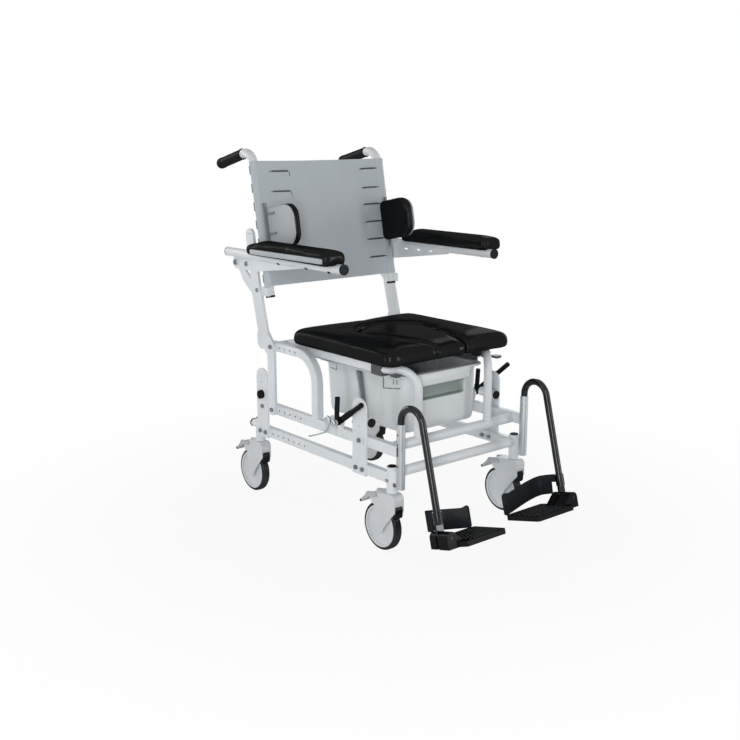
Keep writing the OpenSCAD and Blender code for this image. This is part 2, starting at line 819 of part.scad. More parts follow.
module pedal(s, y) {
  lug_x = cheek_x + cheek_t + gap;
  elbow = [pedal_pivot[0] + 26, pedal_pivot[1] - 5];
  tip = [pedal_reach - 4, hood_top - 42];
  color("#9ea4aa") placed() at_castor(s, y) {
    for (x = [-lug_x - pedal_t, lug_x]) side_plate(x, pedal_t) {
      bar2d(pedal_pivot, elbow, 14);
      bar2d(elbow, [elbow[0] + 6, elbow[1] - 8], 12);
    }
    side_plate(-lug_x - pedal_t, 2 * (lug_x + pedal_t))
      bar2d([elbow[0] + 3, elbow[1] - 3], tip, 7);
    x_rod(-lug_x - 1, lug_x + 1, pedal_pivot[0], pedal_pivot[1], pin_d);
  }
}

module arm_frame(s) {
  deep = arm_pivot_z - 18;
  color("#e6e9ec") placed() on_side(s) difference() {
    union() {
      straight(arm_x, [arm_front_y, arm_z], 0, arm_l) ring2d(arm_d, tube_wall);
      side_plate(gusset_x, gusset_t) {
        bar2d([arm_pivot_y, arm_pivot_z], [arm_pivot_y - 96, arm_pivot_z], 36);
        polygon([[arm_pivot_y, arm_z], [gusset_tip_y, arm_z], [gusset_tip_y, arm_z - gusset_tip_h],
                 [arm_pivot_y - 96, deep], [arm_pivot_y - 60, deep], [arm_pivot_y, arm_pivot_z]]);
      }
      // Stop bolt's head
      x_rod(gusset_x + gusset_t - 1, gusset_x + gusset_t + head_t, arm_pivot_y - 55, arm_pivot_z, 15);
    }
    x_rod(gusset_x - 1, gusset_x + gusset_t + 1, arm_pivot_y, arm_pivot_z, pin_d + 2 * fit);
    for (d = [150, 205, 258]) side_plate(gusset_x - 1, gusset_t + 2)
      bar2d([arm_pivot_y - d, arm_z - 17 + d * 0.02], [arm_pivot_y - d - 14, arm_z - 16 + d * 0.02], 5);
  }
}

module arm_cap(s) {
  color("#141618") placed() on_side(s) {
    translate([arm_x, arm_front_y - 5, arm_z]) rotate([-90, 0, 0]) cylinder(d = arm_d + 2, h = 5);
    translate([arm_x, arm_rear_y, arm_z]) rotate([-90, 0, 0]) cylinder(d = arm_d, h = 3);
  }
}

// Cushion outline: round corners of radius r, with sides that draw in between them.
corner_steps = 7;
side_steps = 5;
function corner_point(w, l, r, q, a) =
  [(q == 0 || q == 3 ? 1 : -1) * (w / 2 - r) + r * cos(a), (q < 2 ? 1 : -1) * (l / 2 - r) + r * sin(a)];
function drawn_in(p, w, l, pull) =
  [p[0] * (1 - 2 * pull / w * (1 - pow(2 * p[1] / l, 2))),
   p[1] * (1 - 2 * pull / l * (1 - pow(2 * p[0] / w, 2)))];
function cushion_outline(w, l, r, pull) = [
  for (q = [0 : 3], i = [0 : corner_steps + side_steps - 1])
    let (end = corner_point(w, l, r, q, 90 * q + 90),
         next = corner_point(w, l, r, (q + 1) % 4, 90 * q + 90),
         k = (i - corner_steps) / side_steps,
         p = i <= corner_steps ? corner_point(w, l, r, q, 90 * q + 90 * i / corner_steps)
           : end + (next - end) * k)
    drawn_in(p, w, l, pull)];

// Closed cushion: rings of points from the flat base, round the side and over the crown.
module cushion(w, l, t, crown, pull, edge, corner_r) {
  rows = [[-edge * 0.4, 0], [-edge * 0.1, edge * 0.25], [0, t * 0.42], [-edge * 0.22, t * 0.78 - crown * 0.4],
          [-edge * 0.75, t - crown * 0.8], [-edge * 2, t - crown * 0.45], [-edge * 4.2, t - crown * 0.1]];
  steps = 4 * (corner_steps + side_steps);
  count = len(rows);
  points = concat(
    [for (r = rows, p = cushion_outline(w + 2 * r[0], l + 2 * r[0], max(corner_r + r[0], 4), pull))
      [p[0], p[1], r[1]]],
    [[0, 0, 0], [0, 0, t]]);
  base = count * steps;
  top_row = (count - 1) * steps;
  faces = concat(
    [for (k = [0 : count - 2], i = [0 : steps - 1]) let (j = (i + 1) % steps)
      [k * steps + i, (k + 1) * steps + i, (k + 1) * steps + j]],
    [for (k = [0 : count - 2], i = [0 : steps - 1]) let (j = (i + 1) % steps)
      [k * steps + i, (k + 1) * steps + j, k * steps + j]],
    [for (i = [0 : steps - 1]) [base, i, (i + 1) % steps]],
    [for (i = [0 : steps - 1]) [base + 1, top_row + (i + 1) % steps, top_row + i]]);
  polyhedron(points = points, faces = faces, convexity = 4);
}

module arm_pad(s) {
  color("#1d1f22") placed() on_side(s) difference() {
    translate([arm_pad_x, arm_pad_front_y + arm_pad_l / 2, arm_pad_z])
      cushion(arm_pad_w, arm_pad_l, arm_pad_t, 5, 1, 8, 14);
    // Groove that sits on the arm tube
    y_rod(arm_x, arm_front_y - 1, arm_rear_y + 1, arm_z, arm_d);
  }
}

// Seat opening: a round hole with a channel that narrows to the front edge.
module keyhole2d(inset) {
  mid_y = seat_rear_y - opening_r - 98;
  front_y = seat_rear_y - seat_d;
  half = channel_w / 2 - inset;
  r = opening_r - inset;
  polygon(concat(
    [for (i = [0 : 36]) let (a = -30 + i * 240 / 36) [r * cos(a), mid_y + r * sin(a)]],
    [[-half, front_y], [-half, front_y - 20], [half, front_y - 20], [half, front_y]]));
}

seat_z0 = seat_frame_z + gap;

module seat_form(t) {
  translate([0, seat_rear_y - seat_d / 2, seat_z0]) cushion(seat_w, seat_d, t, 7, 4, 17, seat_corner_r);
}

module seat() {
  color("#1b1d20") placed() difference() {
    seat_form(seat_t);
    translate([0, 0, seat_z0 - 1]) linear_extrude(seat_t + 10) keyhole2d(0);
  }
}

// The insert fills the opening and ends a little below the seat's crown.
module seat_insert() {
  color("#202326") placed() intersection() {
    seat_form(seat_t - 3);
    translate([0, 0, seat_z0 - 1]) linear_extrude(seat_t + 10) keyhole2d(insert_gap);
  }
}

module pan() {
  mid_y = -pan_front_y + pan_l / 2;
  flange_t = 6;
  color("#cfd5d8") placed() translate([0, mid_y, pan_rim_z]) {
    difference() {
      union() {
        translate([0, 0, -pan_h]) linear_extrude(pan_h) rounded(pan_w, pan_l, 24);
        translate([0, 0, -flange_t]) linear_extrude(flange_t)
          rounded(pan_w + 2 * pan_flange, pan_l + 24, 24);
      }
      translate([0, 0, pan_wall - pan_h]) linear_extrude(pan_h)
        rounded(pan_w - 2 * pan_wall, pan_l - 2 * pan_wall, 24 - pan_wall);
    }
    // Grip lip at the front
    translate([0, -pan_l / 2 - 4, -18]) rotate([0, 90, 0])
      linear_extrude(pan_grip_w, center = true) rounded(34, 20, 6);
  }
}

// Frame of the footplate hinge: local X to the inner side, local Y to the toes, local Z up the leg.
module hinge_frame(s) translate([s * half_track, hinge_y, hinge_z]) rotate([-leg_lean, 0, 0])
  mirror([0, 1, 0]) mirror([s > 0 ? 1 : 0, 0, 0]) children();

module leg(s) {
  color("#5a5f64") placed() {
    on_side(s) {
      straight(half_track, [socket_y, socket_z + 8], 90, leg_up_z - socket_z - 8) ring2d(leg_d, tube_wall);
      bend(half_track, hook_mid, hook_r, 0, 180 - leg_lean) ring2d(leg_d, tube_wall);
      // Down tube: a hair slimmer than the hook and lapped 1 mm into it
      translate([half_track, hook_mid[0], hook_mid[1]]) rotate([180 - leg_lean, 0, 0])
        translate([0, hook_r, -1]) linear_extrude(leg_len - collar_z - 1) ring2d(leg_d - 0.1, tube_wall);
    }
    hinge_frame(s) {
      // Collar, tongue and hinge pin
      translate([0, 0, collar_z]) cylinder(d = collar_d, h = 30);
      translate([0, tongue_t / 2, 0]) rotate([90, 0, 0]) linear_extrude(tongue_t)
        bar2d([0, 0], [0, collar_z], tongue_w);
      translate([0, knuckle_front, 0]) rotate([90, 0, 0])
        cylinder(d = hinge_pin_d, h = knuckle_front + knuckle_rear);
    }
  }
}

// Hinge block's outline across the pin: a round top, a flat outer side and a slope down to the plate.
module knuckle2d() {
  circle(r = knuckle_r);
  polygon([[-knuckle_r + 0.05, 0], [-knuckle_r + 0.05, foot_z0], [40, foot_z0], [40, foot_top],
           [8, knuckle_r - 0.05], [0, knuckle_r - 0.05]]);
}

module footplate(s) {
  color("#191b1d") placed() hinge_frame(s) difference() {
    union() {
      for (k = [[-knuckle_rear, -tongue_t / 2 - gap], [tongue_t / 2 + gap, knuckle_front]])
        translate([0, k[1], 0]) rotate([90, 0, 0]) linear_extrude(k[1] - k[0]) knuckle2d();
      translate([0, 0, foot_z0]) linear_extrude(foot_t - 0.05) polygon([
        [25, foot_rear], [foot_l - 8, foot_rear], [foot_l, foot_rear + 7], [foot_l, foot_front - 5],
        [foot_l - 6, foot_front], [30, foot_front], [20, knuckle_front - 1], [20, 1 - knuckle_rear]]);
    }
    translate([0, foot_depth, 0]) rotate([90, 0, 0]) cylinder(d = hinge_pin_d + 2 * fit, h = 2 * foot_depth);
    // Slit for the leg's tongue, wide enough to fold through
    translate([-60, -tongue_t / 2 - gap, -60]) cube([60 + knuckle_r + 2, tongue_t + 2 * gap, 120]);
    translate([-60, -tongue_t / 2 - gap, foot_top - 0.05]) cube([120, tongue_t + 2 * gap, 120]);
  }
}

// Band behind the heel: a bent strip from a sleeve on the leg's collar that slopes down to the inner side.
module heel_band(s) {
  slope = 9.5;
  sleeve_r = collar_d / 2 + 0.1;
  line = [[1, -sleeve_r - heel_t / 2], [3, 17 - heel_reach], [9, 7 - heel_reach], [22, -heel_reach],
          [foot_l - 2, -heel_reach]];
  color("#202426") placed() hinge_frame(s) difference() {
    intersection() {
      translate([0, 0, -foot_l]) linear_extrude(2 * foot_l) difference() {
        union() {
          circle(r = sleeve_r + heel_t);
          for (i = [0 : len(line) - 2]) bar2d(line[i], line[i + 1], heel_t);
        }
        circle(r = sleeve_r);
      }
      translate([0, -foot_l, 10]) rotate([0, slope, 0]) translate([-foot_l / 2, 0, 0])
        cube([2 * foot_l, 2 * foot_l, heel_h]);
    }
    // Room for the hinge block to fold up
    translate([-40, -knuckle_rear - 2, -60]) cube([80, 120, 60 + collar_z - 3]);
    translate([1, -knuckle_rear - 2, -60]) cube([40, 120, 60 + collar_z + 8]);
  }
}

module lever_brackets() {
  color("#d9dde0") placed() both_sides() {
    side_plate(rail_out, plate_t) {
      bar2d([lever_pivot_y, lever_pivot_z], [lever_pivot_y + 34, lever_pivot_z - 2], 24);
      bar2d([lever_pivot_y, lever_pivot_z], [lever_pivot_y + 6, upper_rail_z], 22);
      bar2d([lever_pivot_y + 34, lever_pivot_z - 2], [lever_pivot_y + 30, upper_rail_z], 22);
    }
    x_rod(plate_out - 1, release_x + lever_t + gap + 1, lever_pivot_y, lever_pivot_z, lever_pin_d);
    x_rod(release_x + lever_t + gap, release_x + lever_t + gap + 3, lever_pivot_y, lever_pivot_z, 15);
  }
}

// Flat lever with a round grip, turned to its slant about the pivot.
module lever(s, x, slant, len, grip_l, tint) {
  color(tint) placed() on_side(s) translate([x, lever_pivot_y, lever_pivot_z]) rotate([-slant, 0, 0])
    difference() {
      union() {
        side_plate(0, lever_t) bar2d([0, 0], [-len + grip_l + 4, 0], 16);
        translate([lever_t / 2 + 1, -len + grip_l, 0]) rotate([90, 0, 0])
          cylinder(d = lever_grip_d, h = grip_l);
      }
      x_rod(-20, 20, 0, 0, lever_pin_d + 2 * fit);
    }
}

module clamp_lever(s) {
  slant = s > 0 ? left_clamp_slant : clamp_slant;
  reach = s > 0 ? left_clamp_len : clamp_len;
  lever(s, lever_x, slant, reach, 50, "#2a2d30");
}

module release_lever(s) lever(s, release_x, release_slant, release_len, 46, "#202326");

// Lateral support: outline in its own flat plane, front at -Y.
lateral_x = half_track - back_r + 6;
lateral_rear_y = back_foot_y + (lateral_z - back_foot_z) * tan(back_lean) - wrap_r - cover_t - 2;

module lateral2d(l, h) {
  r = h * 0.36;
  translate([-l / 2 + r, 0]) rounded(2 * r, h, r - 0.5);
  translate([-l / 2 + r, -h / 2 + 6]) square([l - r - 8, h - 12]);
  translate([l / 2 - 16, 0]) rounded(32, h, 8);
  translate([-l / 2 + r, -h / 2]) square([l - r - 16, h]);
}

module lateral_place() {
  translate([lateral_x, lateral_rear_y - lateral_l / 2, lateral_z]) rotate([-back_lean, 0, 0]) children();
}

module lateral_shells() {
  color("#b9c0c6") placed() both_sides() lateral_place() side_plate(-lateral_shell_t, lateral_shell_t)
    lateral2d(lateral_l - 6, lateral_h - 8);
}

module lateral_pads() {
  color("#17191c") placed() both_sides() lateral_place()
    translate([-lateral_shell_t, 0, 0]) rotate([0, -90, 0]) rotate([0, 0, 90])
      cushion(lateral_l, lateral_h, lateral_pad_t, 4, 1, 7, 24);
}

// Bar beside each lateral support's rear edge, with two studs through the cover's edge into the back tube.
lateral_w = (lateral_z - back_foot_z) / cos(back_lean);
stud_w = [lateral_w - 30, lateral_w + 24];
lateral_bar_t = 6;
lateral_bar_d = 8;

module stud_holes(d) back_frame() for (w = stud_w)
  translate([lateral_x + lateral_bar_t / 2, -60, w]) rotate([-90, 0, 0]) cylinder(d = d, h = 60);

module lateral_brackets() {
  rear = -wrap_r - cover_t - 0.4;
  w0 = lateral_w - lateral_h / 2;
  color("#3c4145") placed() both_sides() {
    back_frame() translate([lateral_x, 0, 0]) rotate([90, 0, 90]) linear_extrude(lateral_bar_t) polygon([
      [rear - lateral_bar_d, w0 - 4], [rear, w0 - 34], [rear, w0 + lateral_h - 4],
      [rear - lateral_bar_d, w0 + lateral_h - 4]]);
    difference() {
      stud_holes(lateral_bar_t - 0.5);
      back_frame() translate([half_track, 0, 0]) cylinder(d = back_d, h = back_len);
    }
  }
}

lower_rails();
upper_rails();
cross_tubes();
castor_sleeves();
rear_height_plates();
front_height_plates();
side_frames();
seat_rails();
front_seat_supports();
uprights();
back_tubes();
back_cover();
back_straps();
push_grips();
tube_caps();
frame_bolts();
plate_knobs();
legrest_sockets();
pan_runners();
lever_brackets();
lateral_brackets();
lateral_shells();
lateral_pads();
fork(-1, front_stem_y);  // front_right_fork
hub(-1, front_stem_y);  // front_right_hub
tyre(-1, front_stem_y);  // front_right_tyre
pedal(-1, front_stem_y);  // front_right_pedal
fork(1, front_stem_y);  // front_left_fork
hub(1, front_stem_y);  // front_left_hub
tyre(1, front_stem_y);  // front_left_tyre
pedal(1, front_stem_y);  // front_left_pedal
fork(-1, rear_stem_y);  // rear_right_fork
hub(-1, rear_stem_y);  // rear_right_hub
tyre(-1, rear_stem_y);  // rear_right_tyre
pedal(-1, rear_stem_y);  // rear_right_pedal
fork(1, rear_stem_y);  // rear_left_fork
hub(1, rear_stem_y);  // rear_left_hub
tyre(1, rear_stem_y);  // rear_left_tyre
pedal(1, rear_stem_y);  // rear_left_pedal
arm_frame(-1);  // right_arm_frame
arm_pad(-1);  // right_arm_pad
arm_cap(-1);  // right_arm_cap
arm_frame(1);  // left_arm_frame
arm_pad(1);  // left_arm_pad
arm_cap(1);  // left_arm_cap
leg(-1);  // right_leg
footplate(-1);  // right_footplate
heel_band(-1);  // right_heel_band
leg(1);  // left_leg
footplate(1);  // left_footplate
heel_band(1);  // left_heel_band
seat();
seat_insert();
pan();
clamp_lever(-1);  // right_clamp_lever
clamp_lever(1);  // left_clamp_lever
release_lever(-1);  // right_release_lever
release_lever(1);  // left_release_lever
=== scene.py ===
import json
import math

import bmesh
import bpy
import numpy as np
from mathutils import Matrix, Vector


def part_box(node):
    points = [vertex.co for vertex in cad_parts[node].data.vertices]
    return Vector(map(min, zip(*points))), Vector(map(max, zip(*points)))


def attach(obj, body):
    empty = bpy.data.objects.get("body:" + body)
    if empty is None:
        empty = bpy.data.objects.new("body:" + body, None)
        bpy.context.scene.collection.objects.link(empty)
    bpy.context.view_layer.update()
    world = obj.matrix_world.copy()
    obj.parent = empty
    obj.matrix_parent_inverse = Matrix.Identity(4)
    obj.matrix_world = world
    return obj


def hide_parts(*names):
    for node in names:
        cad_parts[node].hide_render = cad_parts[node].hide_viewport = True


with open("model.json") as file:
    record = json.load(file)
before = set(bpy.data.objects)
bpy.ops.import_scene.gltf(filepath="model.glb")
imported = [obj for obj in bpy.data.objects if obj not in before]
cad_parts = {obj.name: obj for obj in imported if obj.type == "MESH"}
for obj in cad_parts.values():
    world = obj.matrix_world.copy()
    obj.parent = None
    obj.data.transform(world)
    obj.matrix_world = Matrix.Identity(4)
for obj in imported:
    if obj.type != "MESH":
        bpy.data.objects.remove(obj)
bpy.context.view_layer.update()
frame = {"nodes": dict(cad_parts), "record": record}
NODES = frame["nodes"]
SCENE = bpy.context.scene

SIDES = (("right", -1), ("left", 1))
MM = 0.001


# Camera, floor and light

FRAME_PX = 740.0
FOCAL_PX = 1041.26
SENSOR_MM = 36.0
CAMERA_PLACE = (-1.8258, -2.1153, 1.035)


def make_camera():
    right = Vector((0.77048, -0.63746, 0.0))
    up = Vector((0.14283, 0.17264, 0.97457))
    forward = Vector((0.62125, 0.75089, -0.22407))
    data = bpy.data.cameras.new("camera")
    data.sensor_width = SENSOR_MM
    data.lens = SENSOR_MM * FOCAL_PX / FRAME_PX
    camera = bpy.data.objects.new("camera", data)
    turn = Matrix((right, up, -forward)).transposed().to_4x4()
    camera.matrix_world = Matrix.Translation(CAMERA_PLACE) @ turn
    SCENE.collection.objects.link(camera)
    SCENE.camera = camera


def area_light(name, place, target, size, power):
    data = bpy.data.lights.new(name, "AREA")
    data.shape = "RECTANGLE"
    data.size, data.size_y = size
    data.energy = power
    light = bpy.data.objects.new(name, data)
    light.location = place
    aim = Vector(target) - Vector(place)
    light.rotation_euler = aim.to_track_quat("-Z", "Y").to_euler()
    SCENE.collection.objects.link(light)


def seen_rays(tree):
    """Socket that is 1 for the rays that show the backdrop: camera, glossy and transmission rays."""
    rays = tree.nodes.new("ShaderNodeLightPath")
    total = rays.outputs["Is Camera Ray"]
    for name in ("Is Glossy Ray", "Is Transmission Ray"):
        more = tree.nodes.new("ShaderNodeMath")
        more.operation = "MAXIMUM"
        tree.links.new(total, more.inputs[0])
        tree.links.new(rays.outputs[name], more.inputs[1])
        total = more.outputs["Value"]
    return total


def make_world():
    world = bpy.data.worlds.new("studio")
    world.use_nodes = True
    SCENE.world = world
    tree = world.node_tree
    tree.nodes.clear()
    out = tree.nodes.new("ShaderNodeOutputWorld")
    mix = tree.nodes.new("ShaderNodeMixShader")
    soft = tree.nodes.new("ShaderNodeBackground")
    soft.inputs["Color"].default_value = (0.93, 0.96, 1.0, 1.0)
    soft.inputs["Strength"].default_value = 0.20
    white = tree.nodes.new("ShaderNodeBackground")
    white.inputs["Color"].default_value = (1.0, 1.0, 1.0, 1.0)
    white.inputs["Strength"].default_value = 1.0
    tree.links.new(seen_rays(tree), mix.inputs["Fac"])
    tree.links.new(soft.outputs["Background"], mix.inputs[1])
    tree.links.new(white.outputs["Background"], mix.inputs[2])
    tree.links.new(mix.outputs["Shader"], out.inputs["Surface"])


def make_floor():
    mesh = bpy.data.meshes.new("floor")
    half = 30.0
    below_wheels = 0.0004
    corners = [(-half, -half, 0), (half, -half, 0), (half, half, 0), (-half, half, 0)]
    mesh.from_pydata(corners, [], [(0, 1, 2, 3)])
    floor = bpy.data.objects.new("floor", mesh)
    floor.location.z = -below_wheels
    SCENE.collection.objects.link(floor)
    material = bpy.data.materials.new("floor")
    material.use_nodes = True
    tree = material.node_tree
    tree.nodes.clear()
    out = tree.nodes.new("ShaderNodeOutputMaterial")
    mix = tree.nodes.new("ShaderNodeMixShader")
    matt = tree.nodes.new("ShaderNodeBsdfDiffuse")
    matt.inputs["Color"].default_value = (0.82, 0.83, 0.84, 1.0)
    glow = tree.nodes.new("ShaderNodeEmission")
    glow.inputs["Color"].default_value = (1.0, 1.0, 1.0, 1.0)
    glow.inputs["Strength"].default_value = 1.0
    # The floor keeps its shadow near the chair and fades to white away from it.
    place = tree.nodes.new("ShaderNodeTexCoord")
    away = tree.nodes.new("ShaderNodeVectorMath")
    away.operation = "LENGTH"
    tree.links.new(place.outputs["Object"], away.inputs[0])
    fade = tree.nodes.new("ShaderNodeMapRange")
    fade.interpolation_type = "SMOOTHSTEP"
    for key, number in (("From Min", 0.35), ("From Max", 1.5), ("To Min", 0.9), ("To Max", 1.0)):
        fade.inputs[key].default_value = number
    tree.links.new(away.outputs["Value"], fade.inputs["Value"])
    share = tree.nodes.new("ShaderNodeMath")
    share.operation = "MULTIPLY"
    tree.links.new(seen_rays(tree), share.inputs[0])
    tree.links.new(fade.outputs["Result"], share.inputs[1])
    tree.links.new(share.outputs["Value"], mix.inputs["Fac"])
    tree.links.new(matt.outputs["BSDF"], mix.inputs[1])
    tree.links.new(glow.outputs["Emission"], mix.inputs[2])
    tree.links.new(mix.outputs["Shader"], out.inputs["Surface"])
    mesh.materials.append(material)


# Materials

class Surface:
    """Node tree of one procedural material in the object's own coordinates, in metres."""

    def __init__(self, name):
        self.material = bpy.data.materials.new(name)
        self.material.use_nodes = True
        self.tree = self.material.node_tree
        self.shader = self.tree.nodes["Principled BSDF"]
        self.place = self.tree.nodes.new("ShaderNodeTexCoord").outputs["Object"]

    def link(self, a, b):
        self.tree.links.new(a, b)

    def noise(self, scale, detail=3.0, rough=0.55, stretch=None):
        node = self.tree.nodes.new("ShaderNodeTexNoise")
        node.inputs["Scale"].default_value = scale
        node.inputs["Detail"].default_value = detail
        node.inputs["Roughness"].default_value = rough
        place = self.place
        if stretch:
            mapping = self.tree.nodes.new("ShaderNodeMapping")
            mapping.inputs["Scale"].default_value = stretch
            self.link(place, mapping.inputs["Vector"])
            place = mapping.outputs["Vector"]
        self.link(place, node.inputs["Vector"])
        return node.outputs["Fac"]

    def cells(self, scale):
        node = self.tree.nodes.new("ShaderNodeTexVoronoi")
        node.inputs["Scale"].default_value = scale
        self.link(self.place, node.inputs["Vector"])
        return node.outputs["Distance"]

    def bands(self, scale, axis):
        node = self.tree.nodes.new("ShaderNodeTexWave")
        node.wave_type = "BANDS"
        node.bands_direction = axis
        node.inputs["Scale"].default_value = scale
        self.link(self.place, node.inputs["Vector"])
        return node.outputs["Fac"]

    def math(self, op, a, b):
        node = self.tree.nodes.new("ShaderNodeMath")
        node.operation = op
        for socket, value in zip(node.inputs, (a, b)):
            if isinstance(value, (int, float)):
                socket.default_value = value
            else:
                self.link(value, socket)
        return node.outputs["Value"]

    def ramp(self, value, low, high, out_low=0.0, out_high=1.0):
        node = self.tree.nodes.new("ShaderNodeMapRange")
        limits = {"From Min": low, "From Max": high, "To Min": out_low, "To Max": out_high}
        for key, number in limits.items():
            node.inputs[key].default_value = number
        self.link(value, node.inputs["Value"])
        return node.outputs["Result"]

    def mix(self, share, a, b):
        node = self.tree.nodes.new("ShaderNodeMix")
        node.data_type = "RGBA"
        self.link(share, node.inputs["Factor"])
        for socket, value in ((node.inputs[6], a), (node.inputs[7], b)):
            if isinstance(value, tuple):
                socket.default_value = (*value, 1.0)
            else:
                self.link(value, socket)
        return node.outputs[2]

    def mark(self, name):
        """Value of a mesh's own point attribute."""
        node = self.tree.nodes.new("ShaderNodeAttribute")
        node.attribute_name = name
        return node.outputs["Fac"]

    def colour(self, socket):
        self.link(socket, self.shader.inputs["Base Color"])

    def roughness(self, value, low, high):
        self.link(self.ramp(value, 0.3, 0.7, low, high), self.shader.inputs["Roughness"])

    def bump(self, height, strength, distance):
        node = self.tree.nodes.new("ShaderNodeBump")
        node.inputs["Strength"].default_value = strength
        node.inputs["Distance"].default_value = distance
        self.link(height, node.inputs["Height"])
        self.link(node.outputs["Normal"], self.shader.inputs["Normal"])

    def set(self, **values):
        """Sets uniform numbers on the shader's own sockets."""
        for key, value in values.items():
            self.shader.inputs[key.replace("_", " ")].default_value = value


def powder_coat(name, light, dark, rough=(0.34, 0.46)):
    s = Surface(name)
    cloud = s.noise(7.0, 4.0)
    s.colour(s.mix(s.ramp(cloud, 0.35, 0.7), dark, light))
    peel = s.noise(1400.0, 2.0)
    s.roughness(cloud, *rough)
    s.bump(peel, 0.12, 0.0003)
    s.set(Specular_IOR_Level=0.5)
    return s.material


def moulded(name, light, dark, rough, grain=900.0, strength=0.15, gloss=0.5, coat=0.0):
    s = Surface(name)
    cloud = s.noise(11.0, 5.0)
    s.colour(s.mix(s.ramp(cloud, 0.3, 0.75), dark, light))
    s.roughness(s.noise(60.0, 3.0), *rough)
    s.bump(s.noise(grain, 3.0), strength, 0.0004)
    s.set(Specular_IOR_Level=gloss, Coat_Weight=coat, Coat_IOR=3.0, Coat_Roughness=0.2)
    return s.material


def pan_plastic(name):
    """Pale moulding, with painted shade where the mesh marks its pocket and its grooves."""
    s = Surface(name)
    colour = s.mix(s.ramp(s.noise(11.0, 5.0), 0.3, 0.75), (0.69, 0.72, 0.735), (0.74, 0.77, 0.785))
    # Painted shade: the whole front pocket is coloured dark grey-green.
    colour = s.mix(s.mark("pocket_shade"), colour, (0.235, 0.28, 0.265))
    # Painted shade on the steep rear wall of each side groove.
    s.colour(s.mix(s.mark("shade"), colour, (0.13, 0.14, 0.155)))
    s.roughness(s.noise(60.0, 3.0), 0.3, 0.42)
    s.bump(s.noise(500.0, 3.0), 0.08, 0.0004)
    return s.material


def steel(name, light, dark, rough, bump=0.05):
    s = Surface(name)
    brushed = s.noise(900.0, 3.0, 0.6, (1.0, 1.0, 0.05))
    s.colour(s.mix(s.ramp(s.noise(9.0, 4.0), 0.3, 0.7), dark, light))
    s.roughness(brushed, *rough)
    s.bump(brushed, bump, 0.0002)
    s.set(Metallic=1.0)
    return s.material


def pad_skin(name):
    s = Surface(name)
    cloud = s.noise(9.0, 5.0)
    s.colour(s.mix(s.ramp(cloud, 0.3, 0.75), (0.0045, 0.005, 0.0055), (0.009, 0.0095, 0.0105)))
    grain = s.cells(520.0)
    pores = s.math("ADD", grain, s.math("MULTIPLY", s.noise(1500.0, 2.0), 0.35))
    s.roughness(s.noise(45.0, 4.0), 0.30, 0.44)
    s.bump(pores, 0.16, 0.0004)
    s.set(Specular_IOR_Level=0.0, Coat_Weight=0.036, Coat_IOR=3.0, Coat_Roughness=0.14)
    return s.material


def woven(name, light, dark, scale=420.0, strength=0.35):
    s = Surface(name)
    warp = s.bands(scale, "X")
    weft = s.bands(scale, "Z")
    weave = s.math("MAXIMUM", warp, weft)
    cloud = s.noise(5.0, 5.0)
    tone = s.math("ADD", s.math("MULTIPLY", cloud, 0.75), s.math("MULTIPLY", weave, 0.18))
    s.colour(s.mix(s.ramp(tone, 0.3, 0.8), dark, light))
    s.roughness(s.noise(80.0, 3.0), 0.62, 0.78)
    s.bump(weave, strength, 0.0004)
    s.set(Sheen_Weight=0.08, Sheen_Roughness=0.5)
    return s.material


def rubber(name, light, dark, rough=(0.55, 0.75)):
    s = Surface(name)
    dust = s.noise(26.0, 6.0)
    s.colour(s.mix(s.ramp(dust, 0.4, 0.75), dark, light))
    s.roughness(dust, *rough)
    s.bump(s.noise(1100.0, 3.0), 0.2, 0.0004)
    s.set(Specular_IOR_Level=0.0, Coat_Weight=0.04, Coat_IOR=3.0, Coat_Roughness=0.3)
    return s.material


MAT = {
    "frame": powder_coat("frame_paint", (0.80, 0.83, 0.85), (0.72, 0.755, 0.78)),
    "bracket": powder_coat("bracket_paint", (0.22, 0.24, 0.255), (0.17, 0.187, 0.2)),
    # Dark paint of the rail clips; it also colours the painted shadow lines on the pan.
    "clip": powder_coat("clip_and_shadow_line_paint", (0.055, 0.06, 0.065), (0.035, 0.038, 0.042)),
    "cover": woven("cover_cloth", (0.56, 0.61, 0.64), (0.48, 0.525, 0.555)),
    "strap": woven("strap_web", (0.085, 0.095, 0.105), (0.05, 0.056, 0.063), 700.0, 0.5),
    "grip": rubber("grip_rubber", (0.012, 0.0125, 0.0135), (0.006, 0.0065, 0.007), (0.36, 0.5)),
    "black": moulded("black_plastic", (0.010, 0.0105, 0.012), (0.005, 0.0055, 0.006), (0.3, 0.44),
                     gloss=0.0, coat=0.036),
    "bolt": steel("bolt_steel", (0.26, 0.27, 0.285), (0.12, 0.127, 0.135), (0.3, 0.5)),
    "socket": steel("socket_steel", (0.50, 0.53, 0.55), (0.40, 0.425, 0.445), (0.3, 0.42)),
    "leg": steel("leg_steel", (0.038, 0.041, 0.043), (0.026, 0.028, 0.030), (0.04, 0.08), 0.004),
    "shell": moulded("shell_plastic", (0.47, 0.50, 0.53), (0.40, 0.43, 0.455), (0.42, 0.55)),
    "pad": pad_skin("pad_skin"),
    "pan": pan_plastic("pan_plastic"),
    "castor": moulded("castor_plastic", (0.70, 0.725, 0.745), (0.62, 0.645, 0.665), (0.3, 0.42),
                      grain=600.0, strength=0.08),
    "tyre": rubber("castor_tyre", (0.040, 0.043, 0.046), (0.018, 0.0195, 0.021)),
    "pedal": moulded("pedal_plastic", (0.52, 0.545, 0.565), (0.42, 0.44, 0.46), (0.35, 0.5)),
    # Dark cloth for the painted shadow strips in the cover's slits
    "slit": woven("slit_shadow", (0.055, 0.065, 0.065), (0.035, 0.042, 0.043), 700.0, 0.4),
    "stud": rubber("stud_rubber", (0.065, 0.068, 0.071), (0.04, 0.042, 0.044), (0.4, 0.55)),
    "band": moulded("band_plastic", (0.026, 0.0305, 0.034), (0.019, 0.0225, 0.025), (0.45, 0.6),
                    gloss=0.0, coat=0.012),
}

